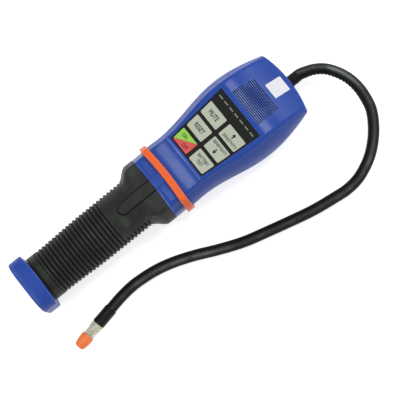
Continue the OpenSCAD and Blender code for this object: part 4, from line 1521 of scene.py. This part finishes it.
    def grip(self) -> bpy.types.Object:
        """The grip: ribs round a tapered body, a smooth front, a flare and a U-shaped groove.

        In polar form the radius is the grip's own, less the rib's depth between two ribs, blended
        towards the neck's outline along the flare, less the groove round the tongue and less a
        quarter circle at the upper edge.

        Returns:
            The grip.
        """
        low = self.foot_len + self.grip_gap
        rib_s = low + self.plain_len
        lead = np.linspace(low, rib_s - self.lead_gap, 8)
        phase = np.array(self.rib_phase)
        ribs = (rib_s + (np.arange(self.ribs)[:, None] + phase[None, :]) * self.rib_pitch).ravel()
        rise = np.tile(self.rib_rise, self.ribs)
        after = np.linspace(rib_s + self.ribs * self.rib_pitch, self.flare_s, 4)
        draw, lift = quarter(EDGE_STEPS)
        top = self.seam_s - self.grip_edge
        flare = np.concatenate([np.linspace(self.flare_s, top, self.flare_rows + 2)[1:-1],
                                top + self.grip_edge * lift])
        pull = np.concatenate([np.zeros(self.flare_rows), self.grip_edge * draw])
        rows = np.concatenate([lead, ribs, after, flare])
        plain = np.ones(lead.size), np.ones(after.size + flare.size)
        crest = np.concatenate([plain[0], rise, plain[1]])
        edge = np.concatenate([np.zeros(rows.size - flare.size), pull])
        bottom = self.tongue_s + self.tongue_w / 2
        close = np.linspace(self.tongue_s - self.tongue_lead, bottom + self.tongue_past, self.tongue_rows)
        s = np.sort(np.concatenate([rows, close]))
        crest, edge = np.interp(s, rows, crest), np.interp(s, rows, edge)[:, None]
        side = np.concatenate([np.linspace(*fan) for fan in self.fans])
        phi = np.radians(np.concatenate([90 - side[::-1][1:], 90 + side[1:-1]]))[None, :]
        ring = self.neck(np.array([self.inset]), Columns(12, 16, 14, 8))[0]
        ring = ring[np.argsort(np.arctan2(ring[:, 1], ring[:, 0]))]
        neck = np.interp(phi, np.arctan2(ring[:, 1], ring[:, 0]), np.hypot(*ring.T), period=2 * np.pi)
        front = np.abs(np.degrees(np.arctan2(np.cos(phi), np.sin(phi)))) < self.smooth_turn / 2
        smooth = front & (s[:, None] > rib_s + self.front_ribs * self.rib_pitch - self.smooth_early)
        crest = np.maximum(np.repeat(crest[:, None], phi.size, 1), smooth)
        r = self.grip_r(s)[:, None] - self.rib_depth * (1.0 - crest)
        r = mix(r, neck, ease((s[:, None] - self.flare_s) / (self.flare_top_s - self.flare_s))) - edge
        x, z = r * np.cos(phi), r * np.sin(phi)
        off = np.hypot(x, np.minimum(s[:, None] - bottom, 0.0)) - self.tongue_w / 2
        line = np.clip(1.0 - np.abs(off) / (self.groove * self.groove_share), 0.0, 1.0) * (z > 0)
        # The groove is shallower on the left, and its painted shade fainter there, where the light falls on
        # it.
        line = line * mix(self.groove_faint, 1.0, ease((x - self.groove_from) / self.groove_over))
        r = r - self.groove * ease(self.groove_steep * line)
        x, z = r * np.cos(phi), r * np.sin(phi)
        high = np.clip((s[:, None] - self.flare_s) / (self.seam_s - self.flare_s), 0.0, 1.0)
        foot = np.clip((rib_s - s[:, None]) / self.plain_len, 0.0, 1.0)
        act = s[:, None] - high * sagitta(x, self.bow)
        act = act - foot * self.foot_draw(x, z, self.foot_bow + self.grip_gap)
        bore = self.bore_r * np.concatenate([np.cos(phi), np.sin(phi)])
        rim = self.to_frame(np.repeat(bore[:1], 2, 0), act[[-1, 0]], np.repeat(bore[1:], 2, 0))
        # Painted shade between the ribs, in the groove round the tongue and at the grip's lower end beside
        # the door.
        painted_shade = np.maximum(1.0 - crest, np.clip(self.groove_dark * line, 0.0, 1.0))
        painted_shade = np.maximum(painted_shade, ease(1.0 - (s[:, None] - low) / self.seat_shade))
        # Painted highlight: a soft lighter patch on the front, right of the tongue's end, added to the wear
        # of the rib crests.
        lightened = np.hypot((x - self.lit_x) / self.lit_w, (s[:, None] - bottom + self.lit_drop) / self.lit_h)
        lightened = bump(lightened) * (z > 0)
        wear_and_painted_light = self.rib_wear * np.clip(crest - self.rib_least, 0.0, 1.0)
        wear_and_painted_light = np.maximum(wear_and_painted_light, self.lit_share * lightened) * (1.0 - painted_shade)
        marks = {"crest": np.pad(wear_and_painted_light, ((0, 2), (0, 0))), "painted_shade": np.pad(painted_shade, ((0, 2), (0, 0)))}
        grid = np.concatenate([self.to_frame(x, act, z), rim])
        return surface("ribbed_grip", grid, Ends.LOOP, self.grip_crease, marks)

    def door(self) -> bpy.types.Object:
        """The battery door: a cup of rounded section with a rounded foot edge, an arched rim and a bore.

        Returns:
            The door.
        """
        w, up, down = self.foot_w / 2, self.foot_front, -self.head.axis_h
        corners = np.array([[w, down], [w, up], [-w, up], [-w, down]])
        reach = np.array([self.foot_back_soft, self.foot_soft, self.foot_soft, self.foot_back_soft])
        ring = even_ring(soft_polygon(corners, reach, 13), 240)
        draw, rise = quarter(8)
        e, rim, arch = self.foot_edge, self.foot_rim, 2.0 * self.foot_len / 3.0
        s = np.concatenate([[0.0, 0.0, 0.0], e * draw, [arch / 2, arch],
                            self.foot_len - rim + rim * rise])
        inset = np.concatenate([[*self.foot_rings, e + self.foot_flat], e * (1.0 - rise), [0.0, 0.0],
                                rim * draw])
        scale = 1.0 - inset[:, None, None] / np.linalg.norm(ring, axis=1)[None, :, None]
        xz = ring[None] * np.clip(scale, 0.0, 1.0)
        xz[0] = 0.0
        bow = np.clip((s - arch) / (self.foot_len - arch), 0.0, 1.0)[:, None]
        act = s[:, None] - bow * self.foot_draw(xz[..., 0], xz[..., 1], self.foot_bow)
        hole = self.bore_r * ring / np.linalg.norm(ring, axis=1, keepdims=True)
        holes = np.stack([mix(xz[-1], hole, self.lip_share), hole * self.lip_wide, hole, hole, 0.0 * hole])
        lip = self.foot_len - np.array([[0.0], [0.0], [self.lip_deep]])
        lip = lip - self.foot_draw(holes[:3, :, 0], holes[:3, :, 1], self.foot_bow)
        deep = np.concatenate([lip, np.full((2, lip.shape[1]), self.foot_floor)])
        x, z = np.moveaxis(np.concatenate([xz, holes]), -1, 0)
        # Painted highlight along the arched rim and, fainter, along the rounded end edge.
        worn_and_lit = np.maximum(bump((s - self.foot_len) / rim), self.foot_end_highlight * bump((s - e) / e))
        worn_and_lit = np.repeat(np.pad(self.edge_highlight * worn_and_lit, (0, len(holes)))[:, None], len(ring), 1)
        marks = {"crest": worn_and_lit, "matt": np.full_like(worn_and_lit, self.head.wall_matt)}
        rows = self.to_frame(x, np.concatenate([act, deep]), z)
        return surface("battery_door_cup", rows, Ends.POLES, self.foot_crease, marks)

    def build(self, shop: Workshop) -> None:
        """Builds and dresses the handle.

        Args:
            shop: Materials and bodies.
        """
        root, blue = Body.DETECTOR.value, "housing_blue"
        shop.dress(self.band(), "band", root, "band_orange", "colour_band")
        shop.dress(self.collar(), "housing", root, blue, "collar")
        half = self.tab_w / 2
        box = (-half, half, self.seam_s, self.band_s)
        tab = self.raised("collar_tab", box, self.tab_proud, self.tab_edge)
        shop.dress(tab, "housing", root, blue)
        middle, out = mix(self.seam_s, self.band_s, self.pad_mid), half + self.pad_gap
        low, high = middle - self.pad_w / 2, middle + self.pad_w / 2
        for name, x0 in (("collar_pad_right", out), ("collar_pad_left", -out - self.pad_len)):
            pad = self.raised(name, (x0, x0 + self.pad_len, low, high), self.pad_proud, self.pad_edge)
            shop.dress(pad, "housing", root, blue)
        shop.dress(self.grip(), "grip", root, "grip_black", "grip_sleeve")
        shop.dress(self.door(), "housing", Body.DOOR.value, blue, "battery_cap")


@dataclass
class Probe:
    """The bendable probe with its boot, its end sleeve, the clear tip and the orange guard.

    Sizes and the route's points are in millimetres and angles in degrees.
    """

    # Hose
    hose_d: float = 7.9
    skin_d: float = 8.1
    skin_lift: float = 0.4
    sides: int = 28
    hose_rows: int = 2400
    line_points: int = 4000
    path_step: int = 8
    hose_crease: float = 60.0
    # Ridges, wrinkles, painted highlight streak and painted shade of the hose
    ridge: float = 1.32
    ridge_depth: float = 0.1
    ridge_steep: float = 0.8
    ridge_from: float = 2.0
    ridge_over: float = 8.0
    ridge_shade: float = 0.3
    wrinkle: float = 0.5
    wrinkle_pitch: float = 2.9
    wrinkle_end: float = 54.0
    wrinkle_over: float = 16.0
    bend_gain: float = 34.0
    streak_at: float = 105.0
    streak_end: float = 220.0
    streak_half: float = 34.0
    streak_range: tuple[float, float] = (0.35, 0.7)
    streak_least: float = 0.6
    # Boot
    boot_d: float = 8.4
    boot_in: float = 13.0
    boot_out: float = 7.2
    exit_z: float = 17.0
    end_y: float = 114.3
    boot_rim: float = 0.6
    ring_low: float = 2.2
    ring_high: float = 2.0
    ring_half: float = 0.5
    ring_deep: float = 0.22
    # End sleeve
    sleeve_d: float = 9.2
    sleeve_len: float = 14.0
    sleeve_rim: float = 0.5
    sleeve_waist: float = 0.12
    # Clear tip
    tip_d: float = 8.6
    tip_len: float = 10.4
    tip_neck_r: float = 3.9
    tip_turn: float = 11.0
    tip_rim: float = 0.4
    tip_soft: float = 0.5
    tip_wall: float = 0.6
    tip_crease: float = 50.0
    nose_r: float = 2.6
    nose_len: float = 8.0
    element_r: float = 1.0
    flutes: int = 10
    flute_share: float = 0.035
    flute_least: float = 0.1
    # Guard
    guard_d: float = 9.1
    guard_end_d: float = 7.4
    guard_len: float = 10.5
    guard_land: float = 2.0
    guard_round: float = 1.6
    guard_hole_r: float = 1.2
    guard_bore_r: float = 2.9
    guard_gap: float = 0.05
    guard_taper: float = 2.4
    guard_room: float = 0.3
    # Points of the route
    route: tuple[tuple[float, float, float], ...] = (
        (0, 121.5, 17), (1.4, 127, 17), (4, 133, 16.8), (7.6, 138, 16.4), (15, 143.6, 15.6),
        (23.4, 147.2, 14.4), (32.4, 148.6, 13), (41.2, 148, 11.4), (48.2, 146.4, 10), (57, 141.6, 8),
        (65.6, 134.4, 6.4), (72.6, 126, 5.2), (76.8, 118.4, 4.4), (80.4, 108, 3.9), (81.2, 98, 3.7),
        (80.2, 88.6, 3.7), (77.8, 72, 3.7), (73.6, 54, 3.7), (69.6, 38.4, 3.7), (64.6, 20.4, 3.7),
        (57.8, 3.6, 3.7), (50.2, -12.8, 3.7), (45.6, -24.8, 3.7), (42.6, -35.4, 3.7), (40.8, -46.6, 3.7),
        (40.2, -58.6, 3.9), (41.2, -69, 4.3), (43.2, -79.6, 4.6))

    def line(self, count: int) -> tuple[np.ndarray, np.ndarray, np.ndarray]:
        """A smooth line through the route's points.

        Between two points it is the cubic that leaves and meets them along the chord of their
        neighbours, and its points are spread evenly over its length.

        Args:
            count: Number of points.

        Returns:
            The points, their directions and their distances along the line.
        """
        p = np.array(self.route, float) + [0.0, 0.0, self.skin_lift]
        knot = np.concatenate([[0.0], np.cumsum(np.linalg.norm(np.diff(p, axis=0), axis=1))])
        slope = np.stack([np.gradient(p[:, k], knot) for k in range(3)], -1)
        a = math.radians(self.tip_turn)
        slope[0], slope[-1] = (0.0, 1.0, 0.0), (math.sin(a), -math.cos(a), 0.0)
        u = np.linspace(0.0, knot[-1], self.line_points)
        k = np.clip(np.searchsorted(knot, u, side="right") - 1, 0, len(knot) - 2)
        h = (knot[k + 1] - knot[k])[:, None]
        t = (u - knot[k])[:, None] / h
        fine = ((2 * t**3 - 3 * t**2 + 1) * p[k] + (t**3 - 2 * t**2 + t) * h * slope[k]
                + (3 * t**2 - 2 * t**3) * p[k + 1] + (t**3 - t**2) * h * slope[k + 1])
        run = np.concatenate([[0.0], np.cumsum(np.linalg.norm(np.diff(fine, axis=0), axis=1))])
        even = np.linspace(0.0, run[-1], count)
        points = np.stack([np.interp(even, run, fine[:, k]) for k in range(3)], -1)
        way = np.gradient(points, even, axis=0)
        return points, way / np.linalg.norm(way, axis=1, keepdims=True), even

    def hose(self) -> tuple[bpy.types.Object, np.ndarray, float]:
        """The ribbed skin of the probe, carried along its line.

        Its radius falls by the ridge's depth along a helix, and on the inside of a tight bend by
        a slower ripple whose height follows the bend.

        Returns:
            The hose, its line in metres and its length in metres.
        """
        points, way, run = self.line(self.hose_rows)
        across = np.cross(way, [0.0, 0.0, 1.0])
        across /= np.linalg.norm(across, axis=1, keepdims=True)
        up = np.cross(across, way)
        a = np.linspace(0.0, 2 * np.pi, self.sides, endpoint=False)[None, :]
        helix = np.cos(2 * np.pi * run[:, None] / self.ridge - a)
        low = np.clip(0.5 - self.ridge_steep * helix, 0.0, 1.0)
        bend = np.einsum("ij,ij->i", np.gradient(way, run, axis=0), across)[:, None]
        tight = np.clip(self.bend_gain * bend * np.cos(a), 0.0, 1.0)
        tight = tight * ease((self.wrinkle_end - run[:, None]) / self.wrinkle_over)
        ripple = tight * (0.5 - 0.5 * np.cos(2 * np.pi * run[:, None] / self.wrinkle_pitch))
        start = ease((run[:, None] - self.ridge_from) / self.ridge_over)
        r = self.skin_d / 2 - start * (self.ridge_depth * low * (1.0 - tight) + self.wrinkle * ripple)
        out = np.cos(a)[..., None] * across[:, None] + np.sin(a)[..., None] * up[:, None]
        skin = points[:, None] + r[..., None] * out
        ends = [np.repeat(p[None, None], self.sides, 1) for p in (points[0], points[-1])]
        # Painted highlight: a lighter streak along the upper side of the hose, fainter towards the tip.
        streak = bump((np.degrees(a) - self.streak_at) / self.streak_half)
        streak = streak * mix(*self.streak_range, 1.0 - low)
        far = ease((self.streak_end - run[:, None]) / self.streak_end)
        streak = streak * mix(self.streak_least, 1.0, far)
        # Painted shade in the ridges' valleys and in the wrinkles on the inside of the first bend.
        shade = start * np.maximum(self.ridge_shade * low * (1.0 - tight), ripple)
        marks = {"crest": np.pad(np.broadcast_to(streak, low.shape), ((1, 1), (0, 0))),
                 "painted_shade": np.pad(shade, ((1, 1), (0, 0)))}
        rows = np.concatenate([ends[0], skin, ends[1]])
        hose = surface("probe_hose", rows, Ends.POLES, self.hose_crease, marks)
        return hose, points[::self.path_step] * MM, float(run[-1]) * MM

    def on_tip(self, grid: np.ndarray) -> np.ndarray:
        """Lays what was turned round Z along the probe's end, from the end of the hose.

        Args:
            grid: The turned points.

        Returns:
            The points in the part's frame.
        """
        a = math.radians(self.tip_turn)
        x, y, z = np.moveaxis(grid, -1, 0)
        end = np.array(self.route[-1], float)
        return end + np.stack([x * math.cos(a) + z * math.sin(a), x * math.sin(a) - z * math.cos(a), y], -1)

    def boot(self) -> bpy.types.Object:
        """The boot at the head: a turned sleeve with rounded rims and two shallow rings.

        Returns:
            The boot.
        """
        r, far, soft = self.boot_d / 2, self.boot_in + self.boot_out, self.boot_rim
        h = np.linspace(self.boot_in + soft, far - soft, 40)
        rings = (bump((h - self.boot_in - self.ring_low) / self.ring_half)
                 + bump((h - far + self.ring_high) / self.ring_half))
        rim = np.array([[r - 0.1, far - 0.3], [r - 0.35, far - 0.05], [r - soft, far], [0.0, far]])
        profile = np.concatenate([[[0.0, 0.0], [r, 0.0], [r, self.boot_in]],
                                  np.stack([r - self.ring_deep * rings, h], -1), rim])
        x, y, z = np.moveaxis(turned(profile, 40), -1, 0)
        rows = np.stack([x, self.end_y - self.boot_in + z, self.exit_z - y], -1)
        return surface("probe_boot_sleeve", rows, Ends.POLES)

    def sleeve(self) -> bpy.types.Object:
        """The black sleeve on the probe's end: a turned tube with rounded rims and a faint waist.

        Returns:
            The sleeve.
        """
        r, n = self.sleeve_d / 2, self.sleeve_len
        h = np.linspace(self.sleeve_rim, n - self.sleeve_rim, 24)
        body = np.stack([r - self.sleeve_waist * np.sin(np.pi * h / n), h], -1)
        rim = np.array([[0.0, 0.0], [r - 0.6, 0.0], [r - 0.15, 0.15]])
        profile = np.concatenate([rim, body, (rim * [1.0, -1.0] + [0.0, n])[::-1]])
        return surface("probe_end_sleeve", self.on_tip(turned(profile, 40)), Ends.POLES)

    def tip(self) -> bpy.types.Object:
        """The clear tip: a turning with broad flutes that steps down to the nose under the guard.

        Returns:
            The tip.
        """
        r, n, far = self.tip_d / 2, self.tip_len, self.tip_len + self.nose_len
        cap = np.linspace(self.tip_rim, n / 3, 8)
        neck = np.linspace(n / 2, n, 10)
        nose, hole, soft, wall = self.nose_r, self.element_r, self.tip_soft, self.tip_wall
        profile = np.concatenate([[[0.0, 0.0], [r - soft, 0.0]],
                                  np.stack([np.full_like(cap, r), cap], -1),
                                  np.stack([np.full_like(neck, self.tip_neck_r), neck], -1),
                                  [[nose, n], [nose, far - soft], [nose - soft, far], [hole, far],
                                   [hole, wall], [0.0, wall]]])
        grid = turned(profile, 72)
        wave = 0.5 + 0.5 * np.cos(self.flutes * np.arctan2(grid[..., 1], grid[..., 0]))
        fluted = np.hypot(grid[..., 0], grid[..., 1]) > nose + self.flute_least
        flute = 1.0 - self.flute_share * wave * fluted
        grid = grid * np.stack([flute, flute, np.ones_like(flute)], -1)
        grid = grid + np.array([0.0, 0.0, self.sleeve_len])
        return surface("clear_tip", self.on_tip(grid), Ends.POLES, self.tip_crease)

    def guard(self) -> bpy.types.Object:
        """The orange guard: a turned cap with a round end, a small hole and a bore for the nose.

        Returns:
            The guard.
        """
        r0, r1, n = self.guard_d / 2, self.guard_end_d / 2, self.guard_len
        draw, rise = quarter(9)
        end = np.stack([r1 - self.guard_round * draw, n - self.guard_round * (1.0 - rise)], -1)
        side = np.linspace(0.0, 1.0, 10)
        cone = np.stack([mix(r0, r1, side**self.guard_taper),
                         mix(self.guard_land, n - self.guard_round, side)], -1)
        hole, bore, inside = self.guard_hole_r, self.guard_bore_r, self.nose_len + self.guard_room
        rim = [[bore, 0.0], [r0 - 0.5, 0.0], [r0 - 0.15, 0.15], [r0, 0.5]]
        profile = np.concatenate([rim, cone, end[1:], [[hole, n], [hole, inside], [bore, inside]]])
        lift = self.sleeve_len + self.tip_len + self.guard_gap
        return surface("orange_guard", self.on_tip(turned(profile, 48) + [0.0, 0.0, lift]), Ends.LOOP)

    def build(self, shop: Workshop) -> None:
        """Args:
            shop: Materials and bodies.
        """
        root = Body.DETECTOR.value
        hose, path, length = self.hose()
        shop.dress(hose, "hose", root, "probe_black", "gooseneck")
        boot = shop.dress(self.boot(), "rubber", root, "probe_rubber", "probe_boot")
        sleeve = shop.dress(self.sleeve(), "rubber", root, "probe_rubber", "probe_sleeve")
        tip = shop.dress(self.tip(), "clear", root, "tip_clear", "sensing_tip")
        guard = shop.dress(self.guard(), "guard", Body.GUARD.value, "guard_orange", "tip_guard")


@dataclass(frozen=True)
class Lamp:
    """A square soft lamp: its direction from the object, its distance, its side and its power."""

    name: str
    toward: tuple[float, float, float]
    away: float
    size: float
    power: float


@dataclass
class Studio:
    """The pale floor, the soft lights and the camera at the photograph's angle.

    The camera's places are in millimetres, and the floor's and the lamps' sizes in metres.
    """

    # Camera
    place: tuple[float, float, float] = (219.485, 49.873, 1509.585)
    target: tuple[float, float, float] = (25.831, 15.689, 26.0)
    down: tuple[float, float, float] = (0.774421, -0.626709, -0.086646)
    lens: float = 197.424
    sensor: float = 36.0
    view_end: float = 50.0
    # Floor and sky
    floor_half: float = 3.0
    floor_low: float = 0.0003
    floor_glow: float = 0.66
    floor_rough: float = 0.9
    floor_pale: Colour = (0.8, 0.8, 0.8, 1.0)
    floor_cloud: Colour = (0.82, 0.82, 0.82, 1.0)
    sky: float = 0.5
    # Lamps
    aim: tuple[float, float, float] = (0.0, 0.05, 0.045)
    lamps: tuple[Lamp, ...] = (
        Lamp("neck_softbox", (-0.13, -0.42, 0.90), 1.7, 0.34, 4.5),
        Lamp("nose_softbox", (-0.11, 0.47, 0.87), 1.7, 0.56, 9.5),
        Lamp("end_softbox", (-0.13, 0.91, 0.38), 1.6, 0.5, 2.8),
    )

    def camera(self) -> None:
        """Places the camera: from its place to the target, with the given way down in the picture."""
        place, target = Vector(self.place) * MM, Vector(self.target) * MM
        back = (place - target).normalized()
        right = (-Vector(self.down)).cross(back).normalized()
        data = bpy.data.cameras.new("camera")
        data.lens, data.sensor_width, data.clip_end = self.lens, self.sensor, self.view_end
        camera = bpy.data.objects.new("camera", data)
        bpy.context.scene.collection.objects.link(camera)
        turn = Matrix((right, back.cross(right), back)).transposed().to_4x4()
        camera.matrix_world = Matrix.Translation(place) @ turn
        bpy.context.scene.camera = camera

    @staticmethod
    def seen(graph: Graph) -> bpy.types.NodeSocket:
        """Is 1 for rays that show the background: from the camera, off gloss and through clear pieces.

        Args:
            graph: The writer of the nodes.

        Returns:
            The value.
        """
        path = graph.add("ShaderNodeLightPath").outputs
        return graph.maths("MAXIMUM", path["Is Camera Ray"],
                           graph.maths("MAXIMUM", path["Is Glossy Ray"], path["Is Transmission Ray"]))

    def floor(self) -> None:
        """A wide pale floor that keeps the shadow and looks white to the camera."""
        h, z = self.floor_half, -self.floor_low
        mesh = bpy.data.meshes.new("floor")
        mesh.from_pydata([(-h, -h, z), (h, -h, z), (h, h, z), (-h, h, z)], [], [(0, 1, 2, 3)])
        floor = bpy.data.objects.new("floor", mesh)
        bpy.context.scene.collection.objects.link(floor)
        material, graph, shader = start_material("floor_pale")
        cloud = graph.noise(graph.where(), 3.0, 2.0)
        pale = graph.blend(cloud, self.floor_pale, self.floor_cloud)
        graph.feed(shader.inputs["Base Color"], pale)
        shader.inputs["Roughness"].default_value = self.floor_rough
        shader.inputs["Emission Color"].default_value = (1.0, 1.0, 1.0, 1.0)
        glow = graph.maths("MULTIPLY", self.seen(graph), self.floor_glow)
        graph.feed(shader.inputs["Emission Strength"], glow)
        mesh.materials.append(material)

    def world(self) -> None:
        """An even grey sky that lights the object and looks white to the camera."""
        world = bpy.data.worlds.new("world")
        bpy.context.scene.world = world
        world.use_nodes = True
        graph = Graph(world.node_tree)
        graph.tree.nodes.clear()
        white = graph.maths("MULTIPLY", self.seen(graph), 1.0 - self.sky)
        values = {"Color": (1.0, 1.0, 1.0, 1.0), "Strength": graph.maths("ADD", white, self.sky)}
        graph.add("ShaderNodeOutputWorld", {"Surface": graph.add("ShaderNodeBackground", values).outputs[0]})

    def light(self, lamp: Lamp) -> None:
        """Hangs a lamp in its direction and turns it to the object.

        Args:
            lamp: The lamp.
        """
        data = bpy.data.lights.new(lamp.name, "AREA")
        data.energy, data.size = lamp.power, lamp.size
        holder = bpy.data.objects.new(lamp.name, data)
        bpy.context.scene.collection.objects.link(holder)
        toward = Vector(lamp.toward).normalized()
        holder.location = Vector(self.aim) + toward * lamp.away
        holder.rotation_euler = (-toward).to_track_quat("-Z", "Y").to_euler()

    def build(self) -> None:
        """Builds the studio and sets the plain view transform."""
        bpy.context.scene.view_settings.view_transform = "Standard"
        self.camera()
        self.floor()
        self.world()
        for lamp in self.lamps:
            self.light(lamp)


def main() -> None:
    """Builds the part in its studio, piece by piece."""
    logging.basicConfig(level=logging.INFO, format="%(name)s: %(message)s")
    Studio().build()
    shop = Workshop()
    Probe().build(shop)
    head = Head()
    head.build(shop)
    Keypad(head).build(shop)
    Handle(head).build(shop)
    shop.dress_solids()


if __name__ == "__main__":
    main()
